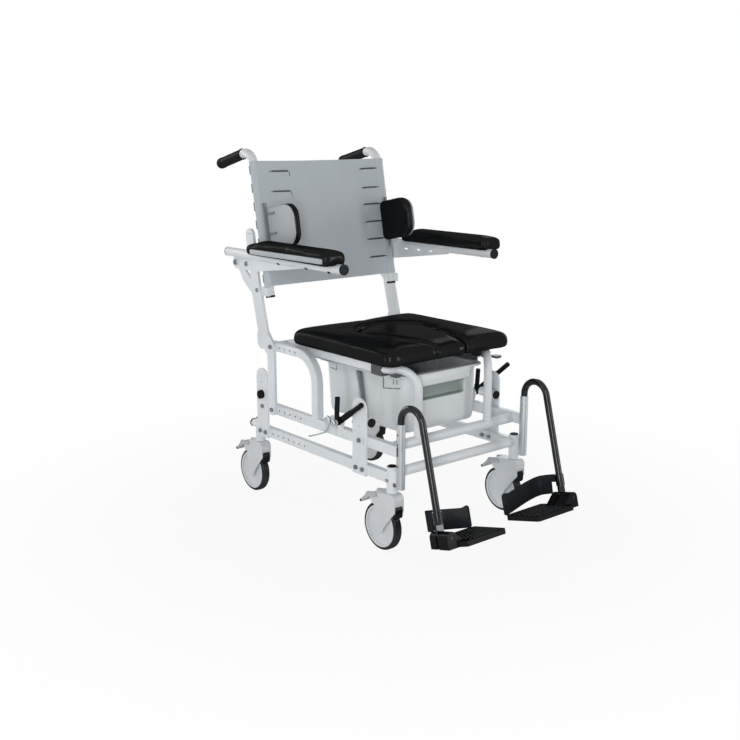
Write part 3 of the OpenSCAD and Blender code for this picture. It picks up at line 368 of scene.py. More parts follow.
# Look of each material slot, and of the nodes that differ from their slot
SLOT_OF = {
    "frame_paint": "frame", "cover_cloth": "cover", "strap_web": "strap", "grip_rubber": "grip",
    "black_plastic": "black", "bolt_steel": "bolt", "socket_steel": "socket", "leg_steel": "leg",
    "bracket_paint": "bracket", "shell_plastic": "shell", "pad_skin": "pad", "pan_plastic": "pan",
    "castor_plastic": "castor", "castor_tyre": "tyre", "pedal_plastic": "pedal",
}
LOOK_OF = {"right_arm_cap": "band", "left_arm_cap": "band"}


def paint_nodes():
    for part in frame["record"]["subparts"]:
        look = LOOK_OF.get(part["node"], SLOT_OF[part["material_slot"]])
        mesh = NODES[part["node"]].data
        mesh.materials.clear()
        mesh.materials.append(MAT[look])


# Shape helpers, in the drawing's millimetres

# The drawing's shift in the frame, the tubes' distance from the middle, the leaning frames and the arms
Y_SHIFT = 65.50068
HALF_TRACK = 220.0
LEAN = math.radians(10.5)
BACK_FOOT_Y, BACK_FOOT_Z = 192.0, 591.0
LEG_LEAN = math.radians(14.6)
HINGE_Y, HINGE_Z = -503.304, 94.614
ARM_X, ARM_Z = 263.0, 704.0


def at(x, y, z):
    """Point of the drawing in the frame, in metres."""
    return Vector((x, y + Y_SHIFT, z)) * MM


def leaning(x, y, z, foot_y, foot_z, lean):
    """Point of a frame that leans to the rear about its foot."""
    c, s = math.cos(lean), math.sin(lean)
    return at(x, foot_y + y * c + z * s, foot_z - y * s + z * c)


def in_back(x, y, z):
    """Point of the back's own frame: z up the tube, y to the rear."""
    return leaning(x, y, z, BACK_FOOT_Y, BACK_FOOT_Z, LEAN)


def in_hinge(side, x, y, z):
    """Point of a footplate hinge's frame: x to the inner side, y to the toes, z up the leg."""
    return leaning(side * HALF_TRACK - side * x, -y, z, HINGE_Y, HINGE_Z, LEG_LEAN)


def shade_by_angle(mesh, degrees):
    mesh.shade_smooth()
    mesh.set_sharp_from_angle(angle=math.radians(degrees))


def new_piece(name, form, look, body, replaces=(), sharp=None):
    """Piece from a (verts, faces) form that rides on a body, in place of the nodes it replaces.

    sharp: least angle of a hard edge in degrees, or 0 for flat faces.
    """
    verts, faces = form
    mesh = bpy.data.meshes.new(name)
    mesh.from_pydata([tuple(v) for v in verts], [], faces)
    bm = bmesh.new()
    bm.from_mesh(mesh)
    bmesh.ops.recalc_face_normals(bm, faces=bm.faces)
    bm.to_mesh(mesh)
    bm.free()
    mesh.materials.append(MAT[look])
    if sharp is None:
        mesh.shade_smooth()
    elif sharp == 0:
        mesh.shade_flat()
    else:
        shade_by_angle(mesh, sharp)
    piece = bpy.data.objects.new(name, mesh)
    SCENE.collection.objects.link(piece)
    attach(piece, body)
    if replaces:
        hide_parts(*replaces)
    return piece


def loft(rings):
    """Closed form through rings of equal length, with a cap at each end."""
    count = len(rings[0])
    rows = len(rings)
    faces = []
    for k in range(rows - 1):
        a, b = k * count, (k + 1) * count
        for i in range(count):
            j = (i + 1) % count
            faces.append((a + i, a + j, b + j, b + i))
    faces.append(tuple(range(count - 1, -1, -1)))
    faces.append(tuple((rows - 1) * count + i for i in range(count)))
    return [p for ring in rings for p in ring], faces


def join(parts):
    """One mesh from several (verts, faces) pairs."""
    verts, faces = [], []
    for more_verts, more_faces in parts:
        base = len(verts)
        verts += more_verts
        faces += [tuple(base + i for i in face) for face in more_faces]
    return verts, faces


def lathe(origin, axis, profile, steps=48):
    """Closed turned form: profile of (radius, distance along the axis)."""
    axis = axis.normalized()
    side = axis.orthogonal().normalized()
    up = axis.cross(side)
    rings = []
    for radius, along in profile:
        ring = []
        for i in range(steps):
            a = 2 * math.pi * i / steps
            ring.append(origin + (axis * along + (side * math.cos(a) + up * math.sin(a)) * radius) * MM)
        rings.append(ring)
    return loft(rings)


def applied(piece):
    """Applies the piece's modifiers to its mesh."""
    graph = bpy.context.evaluated_depsgraph_get()
    mesh = bpy.data.meshes.new_from_object(piece.evaluated_get(graph))
    piece.modifiers.clear()
    piece.data = mesh


def bevelled(piece, width):
    bevel = piece.modifiers.new("bevel", "BEVEL")
    bevel.width = width
    bevel.segments = 2
    bevel.limit_method = "ANGLE"
    bevel.angle_limit = math.radians(30.0)
    applied(piece)
    shade_by_angle(piece.data, 40.0)


# Padded pieces: swollen together in one short cloth run

PADS = []
CLOTH_FRAMES = 20
CLOTH_PRESSURE = 4.0
RELAX_PASSES = 10
RELAX_SHARE = 0.4


def pad_from_node(name, node, body, voxel, cap, hold):
    """Pad that starts as a node's own solid."""
    source = NODES[node].data
    verts = [v.co.copy() for v in source.vertices]
    faces = [tuple(p.vertices) for p in source.polygons]
    pad_from_form(name, (verts, faces), (node,), body, voxel, cap, hold)


def pad_from_form(name, form, nodes, body, voxel, cap, hold):
    """Remeshed pad, queued for swelling by at most cap metres within its hold."""
    piece = new_piece(name, form, "pad", body, nodes)
    remesh = piece.modifiers.new("remesh", "REMESH")
    remesh.mode = "VOXEL"
    remesh.voxel_size = voxel
    applied(piece)
    PADS.append((piece, cap, hold))


def coords(mesh):
    flat = np.empty(len(mesh.vertices) * 3)
    mesh.vertices.foreach_get("co", flat)
    return flat.reshape(-1, 3)


def swell_pads():
    """Cloth pressure rounds every pad; a cap and each pad's hold keep it in its place."""
    rest = [coords(piece.data) for piece, _, _ in PADS]
    for piece, _, _ in PADS:
        cloth = piece.modifiers.new("cloth", "CLOTH")
        cloth.settings.quality = 4
        cloth.settings.mass = 0.3
        cloth.settings.use_pressure = True
        cloth.settings.uniform_pressure_force = CLOTH_PRESSURE
        cloth.settings.effector_weights.gravity = 0.0
        cloth.point_cache.frame_start = 1
        cloth.point_cache.frame_end = CLOTH_FRAMES
    for number in range(1, CLOTH_FRAMES + 1):
        SCENE.frame_set(number)
    for piece, _, _ in PADS:
        applied(piece)
    SCENE.frame_set(1)
    for (piece, cap, hold), before in zip(PADS, rest):
        move = coords(piece.data) - before
        length = np.maximum(np.linalg.norm(move, axis=1), 1e-9)
        move *= np.minimum(1.0, cap / length)[:, None]
        after = hold(before, before + move)
        piece.data.vertices.foreach_set("co", after.reshape(-1))
        piece.data.update()
        relax(piece.data)
        smooth = piece.modifiers.new("smooth", "SUBSURF")
        smooth.levels = smooth.render_levels = 1
        applied(piece)
        piece.data.shade_smooth()


def relax(mesh):
    """Evens out the remeshed surface."""
    axes = {"use_axis_x": True, "use_axis_y": True, "use_axis_z": True}
    for _ in range(RELAX_PASSES):
        bm = bmesh.new()
        bm.from_mesh(mesh)
        bmesh.ops.smooth_vert(bm, verts=bm.verts, factor=RELAX_SHARE, **axes)
        bm.to_mesh(mesh)
        bm.free()


# Seat

# Underside of the seat in metres
SEAT_LOW = 0.4663


def keyhole():
    """Outline of the seat's opening and front channel in plan, in metres."""
    radius, middle, half = 109, -97, 48
    outline = []
    for i in range(37):
        a = math.radians(-30 + i * 240 / 36)
        outline.append((radius * math.cos(a), middle + radius * math.sin(a)))
    outline += [(-half, -314), (-half, -350), (half, -350), (half, -314)]
    return np.array([(x, y + Y_SHIFT) for x, y in outline]) * MM


def outline_distance(points, outline):
    """Distance of each plan point from a closed outline."""
    best = np.full(len(points), 1e9)
    for a, b in zip(outline, np.roll(outline, -1, axis=0)):
        along = b - a
        share = np.clip(((points - a) @ along) / (along @ along), 0.0, 1.0)
        gap = points - a - share[:, None] * along
        best = np.minimum(best, np.linalg.norm(gap, axis=1))
    return best


def hold_seat(before, after):
    """Holds the walls of the opening, and shapes the top of the seat and its insert."""
    share = np.clip((outline_distance(before[:, :2], keyhole()) - MM) / 0.016, 0.0, 1.0)
    out = before + (after - before) * np.stack([share, share, np.ones_like(share)], axis=1)
    # The front of the seat dips towards the channel.
    x = before[:, 0] * 1000
    y = before[:, 1] * 1000 - Y_SHIFT
    upper = np.clip((before[:, 2] - SEAT_LOW - 0.02) / 0.02, 0.0, 1.0)
    dip = 7.0 * np.exp(-(x / 70.0) ** 2) * np.clip((-210 - y) / 80.0, 0.0, 1.0) * upper
    # Finger notch at the insert's edge
    dip = dip + 4.5 * np.exp(-((x + 96.0) ** 2 + (y + 46.0) ** 2) / 170.0) * upper
    out[:, 2] = np.maximum(out[:, 2] - dip * MM, SEAT_LOW)
    return out


def make_seat():
    pad_from_node("seat_pad", "seat", "seat_cushion", voxel=0.005, cap=0.006, hold=hold_seat)
    pad_from_node("insert_pad", "seat_insert", "seat_plug", voxel=0.005, cap=0.005, hold=hold_seat)


# Armrests and lateral pads

def make_arm_pads():
    for name, side in SIDES:
        lo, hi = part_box(name + "_arm_pad")

        def hold(before, after, lo=lo, hi=hi):
            out = after.copy()
            out[:, 0] = np.clip(out[:, 0], lo.x - 0.0008, hi.x + 0.0008)
            out[:, 2] = np.maximum(out[:, 2], lo.z)
            # The rear end of the pad steps down a little.
            rear = np.clip((before[:, 1] - (hi.y - 0.052)) / 0.016, 0.0, 1.0)
            upper = np.clip((before[:, 2] - lo.z - 0.016) / 0.012, 0.0, 1.0)
            out[:, 2] -= 0.0055 * rear * upper
            # The groove stays on the arm tube.
            radius = np.hypot(np.abs(before[:, 0]) - ARM_X * MM, before[:, 2] - ARM_Z * MM)
            free = np.clip((radius - 0.0135) / 0.006, 0.0, 1.0)[:, None]
            return before + (out - before) * free

        pad_from_node(name + "_arm_cushion", name + "_arm_pad", name + "_arm",
                      voxel=0.004, cap=0.005, hold=hold)
        make_arm_strip(name, side, lo, hi)


def make_arm_strip(name, side, lo, hi):
    """Light strip let into the outer side of the pad."""
    face = hi.x if side > 0 else lo.x
    first, last = -166, 148
    rings = []
    for y in np.linspace(first, last, 40):
        middle = 724.6 - (y - first) / (last - first) * 2.5
        half = 6.8 * min(1.0, 0.9 + min(y - first, last - y) / 12)
        section = ((-1.6, -half), (1.6, -half + 0.5), (2.1, -half + 1.6),
                   (2.1, half - 1.6), (1.6, half - 0.5), (-1.6, half))
        ring = []
        for out, dz in section:
            p = at(0, y, middle + dz)
            p.x = face + side * out * MM
            ring.append(p)
        rings.append(ring)
    new_piece(name + "_arm_strip", loft(rings), "shell", name + "_arm", sharp=35.0)


def d_outline(length, height, front_r, rear_r, inset):
    """D-shaped outline: large radii at the front (-y), small ones at the rear."""
    points = []
    corners = ((-1, 1, front_r, 90), (-1, -1, front_r, 180), (1, -1, rear_r, 270), (1, 1, rear_r, 0))
    for sy, sz, r, start in corners:
        r = max(r - inset, 1.0)
        cy = sy * (length / 2 - inset - r)
        cz = sz * (height / 2 - inset - r)
        for i in range(13):
            a = math.radians(start + i * 90 / 12)
            points.append((cy + r * math.cos(a), cz + r * math.sin(a)))
    return points


# Lateral supports: length and height, and the origin of their frame, ahead of the back tube
LATERAL_L, LATERAL_H = 130.0, 118.0
LATERAL_X, LATERAL_Z = HALF_TRACK - 6.5, 784.0
LATERAL_Y = BACK_FOOT_Y + (LATERAL_Z - BACK_FOOT_Z) * math.tan(LEAN) - 18.2 - LATERAL_L / 2


def in_lateral(side, x, y, z):
    """Point of a lateral support's frame, which leans with the back."""
    return leaning(side * (LATERAL_X + x), y, z, LATERAL_Y, LATERAL_Z, LEAN)


def make_lateral_pads():
    """Both pads as one piece, from rows of (inset, depth towards the sitter)."""
    rows = ((2.0, 4.0), (0.0, 7.0), (0.0, 15.0), (2.0, 20.5), (7.0, 24.0), (18.0, 25.4))
    parts = []
    for _, side in SIDES:
        rings = []
        for inset, depth in rows:
            outline = d_outline(LATERAL_L, LATERAL_H, 38, 14, inset)
            rings.append([in_lateral(side, -depth, y, z) for y, z in outline])
        parts.append(loft(rings))

    def hold(_, after):
        out = after.copy()
        limit = (LATERAL_X - 4.0) * MM
        out[:, 0] = np.clip(out[:, 0], -limit, limit)
        return out

    pad_from_form("lateral_cushions", join(parts), ("lateral_pads",), "chassis",
                  voxel=0.004, cap=0.003, hold=hold)


# Back cover, its slits and the straps

SLIT_Z = (337.0, 281.5, 232.5, 181.0, 129.5, 76.5)
SLIT_SPAN = {-1: (112.0, 184.0), 1: (148.0, 204.0)}
COVER_LOW, COVER_HIGH = 25.0, 367.0
COVER_R = 14.45
COVER_BOW, BOW_POWER = 12.0, 2.2
COVER_REACH = HALF_TRACK + COVER_R * math.radians(88)


def cover_line(s):
    """Middle line of the cover across the back: x, y and outward normal at path length s."""
    side = math.copysign(1, s)
    if abs(s) <= HALF_TRACK:
        share = abs(s / HALF_TRACK)
        y = -COVER_R + COVER_BOW * (1 - share ** BOW_POWER)
        slope = -COVER_BOW * BOW_POWER * share ** (BOW_POWER - 1) / HALF_TRACK * side
        n = Vector((slope, -1.0)).normalized()
        return s, y, n.x, n.y
    a = (abs(s) - HALF_TRACK) / COVER_R
    nx, ny = side * math.sin(a), -math.cos(a)
    return side * HALF_TRACK + COVER_R * nx, COVER_R * ny, nx, ny


def cover_relief(s, z):
    """Height of the cover over its middle surface: hems, and a swelling below each slit."""
    lift = 0.0
    side = -1 if s < 0 else 1
    inner, outer = SLIT_SPAN[side]
    across = min((abs(s) - inner) / 5.0, (outer + 14 - abs(s)) / 26.0)
    across = min(max(across, 0.0), 1.0)
    if across > 0:
        for slit in SLIT_Z:
            below = slit - z
            if 0.0 <= below < 30.0:
                lift = max(lift, 2.6 * across * (1 - below / 30.0) ** 1.3)
            elif -6.0 < below < 0.0:
                lift = min(lift, -0.9 * across * (1 + below / 6.0))
    edge = min(z - COVER_LOW, COVER_HIGH - z)
    if edge < 13.0:
        lift += 0.7 * min(1.0, (13.0 - edge) / 1.6)
        lift -= 0.6 * math.exp(-((edge - 10.5) / 0.8) ** 2)
    # Fold line where the cover meets the tube
    return lift + 0.9 * math.exp(-((abs(s) - 203.0) / 4.0) ** 2)


def make_cover():
    """Bowed cover that wraps both back tubes, with rows set close at the slits and hems."""
    across = np.linspace(-COVER_REACH, COVER_REACH, 190)
    up = []
    z = COVER_LOW
    while z < COVER_HIGH:
        up.append(z)
        near = min(abs(z - slit) for slit in SLIT_Z)
        z += 0.8 if near < 4 or min(z - COVER_LOW, COVER_HIGH - z) < 14 else 3.0
    up.append(COVER_HIGH)
    front, back = [], []
    for z in up:
        edge = min(z - COVER_LOW, COVER_HIGH - z)
        thick = 1.1 * math.sqrt(min(1.0, 0.25 + edge / 2.0))
        for s in across:
            x, y, nx, ny = cover_line(s)
            lift = thick + cover_relief(s, z)
            front.append(in_back(x + nx * lift, y + ny * lift, z))
            back.append(in_back(x - nx * thick, y - ny * thick, z))
    columns, rows, base = len(across), len(up), len(front)
    faces = []
    for k in range(rows - 1):
        for i in range(columns - 1):
            a, b = k * columns + i, k * columns + i + 1
            c, d = b + columns, a + columns
            faces.append((a, b, c, d))
            faces.append((base + a, base + d, base + c, base + b))
    rim = list(range(columns)) + [k * columns + columns - 1 for k in range(1, rows)]
    rim += [(rows - 1) * columns + i for i in range(columns - 2, -1, -1)]
    rim += [k * columns for k in range(rows - 2, 0, -1)]
    for a, b in zip(rim, rim[1:] + rim[:1]):
        faces.append((a, base + a, base + b, b))
    form = (front + back, faces)
    cover = new_piece("cover_sheet", form, "cover", "chassis", ("back_cover",), 50.0)


def make_slit_shadows():
    """Painted shadow in the slits' mouths: dark tapered strips on the cover, whose inner ends turn down on
    the right side.
    """
    parts = []
    for side, (inner, outer) in SLIT_SPAN.items():
        for slit in SLIT_Z:
            path = []
            for s in np.linspace(outer, inner, 26):
                path.append((s, slit + 1.2, 2.3 * min(1.0, (outer - s) / 16.0 + 0.12)))
            straight = len(path)
            if side < 0:
                for t in np.linspace(0.08, 1.0, 10):
                    path.append((inner - 2.5 * t, slit + 0.5 - 15.0 * t, 2.1 * (1 - t) + 0.25))
            else:
                for t in np.linspace(0.1, 1.0, 6):
                    path.append((inner - 10.0 * t, slit + 1.2 - 1.5 * t, 2.3 * (1 - t) + 0.2))
            rings = []
            for k, (s, z, half) in enumerate(path):
                x, y, nx, ny = cover_line(side * s)
                out = 1.35 + max(cover_relief(side * s, z), cover_relief(side * s, z - 2.5))
                turned = 0.0
                if side < 0:
                    turned = min(max((k - straight + 4) / 6.0, 0.0), 1.0)
                ds, dz = half * turned, half * (1 - turned)
                ring = []
                for u, depth in ((-1.0, -0.6), (1.0, -0.6), (1.0, 0.0), (-1.0, 0.0)):
                    h = out + depth
                    ring.append(in_back(x + nx * h + side * ds * u, y + ny * h, z + dz * u))
                rings.append(ring)
            parts.append(loft(rings))
    new_piece("cover_slit_shadows", join(parts), "slit", "chassis", sharp=0)


def make_straps():
    """Short straps from the cover's edges round the back tubes to the rear."""
    parts = []
    count, height, r = 7, 24.0, 13.95
    pitch = (COVER_HIGH - COVER_LOW - height - 20) / (count - 1)
    for side in (-1, 1):
        for k in range(count):
            low = COVER_LOW + 10 + k * pitch
            path = []
            for a in np.linspace(84, 180, 22):
                t = math.radians(a)
                path.append((HALF_TRACK + r * math.sin(t), -r * math.cos(t), math.sin(t), -math.cos(t)))
            for d in np.linspace(3, 46, 12):
                path.append((HALF_TRACK - d, r, 0.0, 1.0))
            rings = []
            for x, y, nx, ny in path:
                ring = []
                for dz, d in ((0.6, -1.15), (height - 0.6, -1.15), (height, -0.5), (height, 0.5),
                              (height - 0.8, 1.15), (0.8, 1.15), (0.0, 0.5), (0.0, -0.5)):
                    ring.append(in_back(side * (x + nx * d), y + ny * d, low + dz))
                rings.append(ring)
            parts.append(loft(rings))
    new_piece("strap_bands", join(parts), "strap", "chassis", ("back_straps",), 40.0)


# Push grips

GRIP_Y, GRIP_Z = 306.065, 973.545
GRIP_DROP = math.radians(14)


def make_grips():
    """Ribbed sleeves with a collar and a domed end."""
    parts = []
    for side in (-1, 1):
        origin = at(side * HALF_TRACK, GRIP_Y, GRIP_Z)
        axis = Vector((0, math.cos(GRIP_DROP), -math.sin(GRIP_DROP)))
        profile = [(12.7, 6.0), (15.0, 6.0), (15.5, 6.8), (15.5, 9.6), (15.0, 10.6), (14.3, 11.4)]
        for k in range(48):
            profile.append((14.35 + 0.38 * (k % 2) * min(1.0, k / 4), 12.0 + k * 2.0))
        profile += [(14.6, 110.5), (15.4, 112.5), (15.5, 116.0), (15.4, 122.0), (15.0, 125.0),
                    (14.0, 127.2), (12.0, 128.6), (8.0, 129.0), (2.5, 129.0)]
        parts.append(lathe(origin, axis, profile, 56))
    new_piece("grip_sleeves", join(parts), "grip", "chassis", ("push_grips",), 45.0)


# Heel bands

def smooth_line(points, steps=10):
    """Catmull-Rom line through points."""
    points = [Vector(p) for p in points]
    padded = [2 * points[0] - points[1]] + points + [2 * points[-1] - points[-2]]
    line = []
    for k in range(len(points) - 1):
        a, b, c, d = padded[k:k + 4]
        for i in range(steps):
            t = i / steps
            spot = 2 * b + (c - a) * t
            spot += (2 * a - 5 * b + 4 * c - d) * t ** 2
            spot += (3 * b - a - 3 * c + d) * t ** 3
            line.append(0.5 * spot)
    return line + [points[-1]]


# Plan line of a heel band in its hinge's frame, from the leg to the inner end
HEEL_LINE = [(1, -12.6), (4, -30), (8, -45), (12.5, -56), (19, -62), (34, -67), (55, -69), (80, -68),
             (108, -64.5), (136, -61.8), (160, -61)]
HEEL_SLOPE = math.tan(math.radians(9.5))
HEEL_H = 51.7
HEEL_LOW = 10.5


def band_ring(side, p, normal, low, high):
    """Cross-section of the heel band at plan point p, rounded along its edges."""
    section = ((-1.4, low + 1.2), (-1.4, high - 1.2), (-0.9, high - 0.3), (0.0, high), (0.9, high - 0.3),
               (1.4, high - 1.2), (1.4, low + 1.2), (0.9, low + 0.3), (0.0, low), (-0.9, low + 0.3))
    return [in_hinge(side, p.x + normal.x * d, p.y + normal.y * d, z) for d, z in section]


def make_heel_bands():
    line = smooth_line(HEEL_LINE)
    count = len(line)
    for name, side in SIDES:
        rings = []
        for k, p in enumerate(line):
            ahead = line[min(k + 1, count - 1)] - line[max(k - 1, 0)]
            normal = Vector((ahead.y, -ahead.x)).normalized()
            low = HEEL_LOW - p.x * HEEL_SLOPE
            high = low + HEEL_H
            # Beside the leg the band leaves room for the folding hinge block.
            if p.y > -28.0:
                low = max(low, 41.0)
            # The inner end has a raised, rounded corner.
            lift = min(max((p.x - 132.0) / 24.0, 0.0), 1.0)
            high += 6.0 * lift * lift * (3 - 2 * lift)
            end = min(1.0, (count - 1 - k) / 4.0)
            cut = 5.0 * (1 - math.sqrt(1 - (1 - end) ** 2))
            rings.append(band_ring(side, p, normal, low + cut, high - cut))
        new_piece(name + "_heel_strip", loft(rings), "band", name + "_legrest",
                  (name + "_heel_band",), 50.0)


# Pan: a moulded tub with side grooves, a front pocket and a rolled grip

PAN = {"x": 131.0, "front": -270.0, "rear": 66.0, "low": 276.0, "rim": 432.0, "corner": 24.0}
PAN_DRAFT = 0.016
PAN_MIDDLE_Y = -102.0
PAN_LEVELS = (302, 312, 322, 332, 342, 350, 355, 358, 360, 362, 365, 371, 378, 385, 389, 391, 393, 396, 402,
              409, 412, 415, 418, 421, 426)
PAN_RIM = ((12.5, 426.0), (14.0, 427.5), (14.0, 430.5), (12.5, 432.0), (-2.0, 432.0), (-3.0, 431.0))
POCKET_DEPTH = 13.0
GROOVE_REAR, GROOVE_WIDTH, GROOVE_DEPTH = -70.0, 42.0, 15.0


def step_up(value, low, high):
    """Smooth step from 0 at low to 1 at high."""
    share = min(max((value - low) / (high - low), 0.0), 1.0)
    return share * share * (3 - 2 * share)


def tub_outline(inset, rear_inset):
    """Rounded rectangle in plan, with close points along its straight sides."""
    r = max(PAN["corner"] - 0.4 * inset, 6.0)
    x = PAN["x"] - inset
    front, rear = PAN["front"] + inset, PAN["rear"] - inset - rear_inset
    points = []
    for cx, cy, first, tx, ty in ((x - r, front + r, -90, 0, 1), (x - r, rear - r, 0, -1, 0),
                                  (r - x, rear - r, 90, 0, -1), (r - x, front + r, 180, 1, 0)):
        for k in range(7):
            a = math.radians(first + 15 * k)
            points.append((cx + r * math.cos(a), cy + r * math.sin(a)))
        length = (rear - front - 2 * r) if ty else 2 * (x - r)
        count = 64 if ty else 44
        last = points[-1]
        for k in range(1, count):
            points.append((last[0] + tx * length * k / count, last[1] + ty * length * k / count))
    return points


def tub_relief(x, y, z, spare=0.0):
    """Moves one wall point into a side groove or the front pocket, and marks both places for painted shade.
    """
    shade = pocket_shade = 0.0
    if abs(x) > PAN["x"] - 12.0:
        ahead = GROOVE_REAR - y
        if 0.0 < ahead < GROOVE_WIDTH:
            below = 1 - step_up(z, 410.0, 420.0)
            depth = GROOVE_DEPTH * step_up(ahead, 0.0, 7.0) * (1.0 - ahead / GROOVE_WIDTH) * below
            x -= math.copysign(depth, x)
            # Painted shade on the groove's steep rear wall, fading forwards.
            shade = step_up(ahead, 0.0, 2.0) * (1.0 - step_up(ahead, 4.0, 34.0)) * below
        # The groove leans forward towards its foot.
        y -= 0.16 * (427.0 - z) * step_up(y, -230.0, -135.0) * (1 - step_up(y, -55.0, 30.0))
    if y < PAN["front"] + 10.0:
        edge = 76.0 + spare - 0.12 * (390.0 - z)
        floor = step_up(z + spare, 357.0, 363.0)
        roof = 1.0 - step_up(z - spare, 390.0, 394.0)
        share = (1.0 - step_up(abs(x), edge, edge + 6.0)) * floor * roof
        y += POCKET_DEPTH * share
        # Marks the whole pocket for painted shade.
        pocket_shade = 1.0 if share > 0.04 else 0.0
    return x, y, shade, pocket_shade


def tub_ring(z, inset, spare=0.0):
    """Wall of the tub at one height: points in plan with their marks."""
    draft = PAN_DRAFT * (PAN["rim"] - z)
    return [tub_relief(x, y, z, spare) for x, y in tub_outline(inset + draft, 4.0 * draft)]


def make_pan():
    """Outer wall, rim and inner wall in one loft, and the rolled grip at the front."""
    heights = [(0.0, 14.0), (0.8, 9.0), (3.0, 5.0), (7.0, 2.0), (13.0, 0.5), (19.0, 0.0)]
    heights += [(z - PAN["low"], 0.0) for z in PAN_LEVELS]
    rings, marks = [], []
    for h, inset in heights:
        z = PAN["low"] + h
        points = tub_ring(z, inset)
        rings.append([at(x, y, z) for x, y, _, _ in points])
        marks += [(shade, pocket_shade) for _, _, shade, pocket_shade in points]
    for out, z in PAN_RIM:
        rings.append([at(x, y, z) for x, y in tub_outline(-out, 0.0)])
    for h, inset in reversed(heights[2:]):
        z = PAN["low"] + h + 2.5
        ring = []
        for x, y, _, _ in tub_ring(z, inset, 6.0):
            ring.append(at(x * 0.975, (y - PAN_MIDDLE_Y) * 0.98 + PAN_MIDDLE_Y, min(z, 429.0)))
        rings.append(ring)
    section = ((-264, 431), (-276, 431.4), (-281, 429.5), (-283.4, 425), (-284, 414), (-283.4, 403),
               (-281.5, 399), (-278, 397.4), (-274, 398.5), (-271, 402), (-264, 404))
    half_grip = ((91, 0.55), (90, 0.8), (87, 0.95), (82, 1.0))
    stations = [(-x, share) for x, share in half_grip] + list(reversed(half_grip))
    grip = []
    for x, share in stations:
        tall = 0.4 + 0.6 * share
        grip.append([at(x, -264 + (y + 264) * share, 416 + (z - 416) * tall) for y, z in section])
    form = join([loft(rings), loft(grip)])
    pan = new_piece("pan_tub", form, "pan", "commode_pan", ("pan",), 42.0)
    # Point marks that place the painted shade of the grooves and the pocket
    for column, name in enumerate(("shade", "pocket_shade")):
        values = pan.data.attributes.new(name, "FLOAT", "POINT").data
        for k, mark in enumerate(marks):
            values[k].value = mark[column]


def thin_bars(x, paths, half):
    """Short square bars along paths of (y, z) points on a side wall at x."""
    corners = ((-1.2, 1), (0.5, 1), (0.9, 0.4), (0.9, -0.4), (0.5, -1), (-1.2, -1))
    parts = []
    for path in paths:
        for (y0, z0), (y1, z1) in zip(path, path[1:]):
            along = Vector((y1 - y0, z1 - z0)).normalized() * half
            across = Vector((-along.y, along.x))
            rings = []
            for (y, z), sign in (((y0, z0), -1), ((y1, z1), 1)):
                y, z = y + sign * along.x, z + sign * along.y
                ring = []
                for d, k in corners:
                    ring.append(at(x + math.copysign(d, x), y + across.x * k, z + across.y * k))
                rings.append(ring)
            parts.append(loft(rings))
    return parts


def make_pan_shadow_lines():
    """Painted shadow lines on both side walls of the pan: thin dark bars along the edges of a hanger plate.
    """
    wall = 130.6
    hanger = [[(-187, 418), (-187, 386), (-221, 391)], [(-227, 392), (-252, 396)]]
    ticks = [[(-226, 415), (-226, 403)], [(-240, 417), (-240, 405)]]
    corner = [[(37, 401), (10, 399), (10, 415)]]
    parts = []
    for x in (-wall, wall):
        parts += thin_bars(x, hanger, 0.9) + thin_bars(x, ticks, 0.7) + thin_bars(x, corner, 0.6)
    new_piece("pan_hanger_shadow_lines", join(parts), "clip", "commode_pan", sharp=30.0)


def make_rail_clips():
    """Dark clips that wrap the seat rails near the front, and a buffer ahead of each."""
    clip = (-251, -209, 163.4, 192.6, 436, 467)
    buffer = (-301, -277, 168, 189, 440, 447)
    parts = []
    for _, side in SIDES:
        for y0, y1, x0, x1, z0, z1 in (clip, buffer):
            rings = []
            for y, cut in ((y0, 1.5), (y0 + 1.5, 0.0), (y1 - 1.5, 0.0), (y1, 1.5)):
                rings.append([at(side * (x0 + cut), y, z0 + 3), at(side * (x0 + cut + 3), y, z0 + cut),
                              at(side * (x1 - cut - 3), y, z0 + cut), at(side * (x1 - cut), y, z0 + 3),
                              at(side * (x1 - cut), y, z1 - cut), at(side * (x0 + cut), y, z1 - cut)])
            parts.append(loft(rings))
    new_piece("seat_rail_clips", join(parts), "clip", "chassis", sharp=35.0)


# Castors

CASTOR_Y = (("front", -326.0), ("rear", 257.0))
CORNERS = [(end + "_" + name, side, y) for end, y in CASTOR_Y for name, side in SIDES]


def make_pedal_shoes():
    """Dark rubber shoe round each pedal's rear end."""
    length, proud = 0.014, 0.0014
    for corner, _, _ in CORNERS:
        node = NODES[corner + "_pedal"]
        points = [node.matrix_world @ v.co for v in node.data.vertices]
        end = max(p.y for p in points)
        points = [p for p in points if p.y > end - length]
        middle = sum(points, Vector()) / len(points)
        bm = bmesh.new()
        for p in points:
            bm.verts.new(p + (p - middle).normalized() * proud)
        bmesh.ops.convex_hull(bm, input=bm.verts)
        bmesh.ops.delete(bm, geom=[v for v in bm.verts if not v.link_faces], context="VERTS")
        bm.verts.index_update()
        verts = [v.co.copy() for v in bm.verts]
        faces = [tuple(v.index for v in f.verts) for f in bm.faces]
        bm.free()
        shoe = new_piece(corner + "_pedal_shoe", (verts, faces), "stud", corner + "_brake")
        bevelled(shoe, 0.0008)


def make_hood_liners():
    """Black liner that fills the mouth of each castor hood in front of the tyre."""
    trail, wheel_r, inner_r = 35.0, 62.5, 65.4
    outline = []
    for k in range(9):
        a = math.radians(150.0 - 5.0 * k)
        outline.append((trail + inner_r * math.cos(a), wheel_r + inner_r * math.sin(a)))
    outline += [(-14.0, 126.0), (-24.0, 124.0), (-26.6, 118.0), (-26.6, 104.0), (-25.0, 98.5)]
    for corner, side, y in CORNERS:
        rings = []
        for x in (-12.7, -12.2, -6.0, 6.0, 12.2, 12.7):
            rings.append([at(side * HALF_TRACK + x, y + p, q) for p, q in outline])
        new_piece(corner + "_hood_liner", loft(rings), "black", corner + "_castor",
                  sharp=35.0)


# Bolts, screws and the small parts at the levers

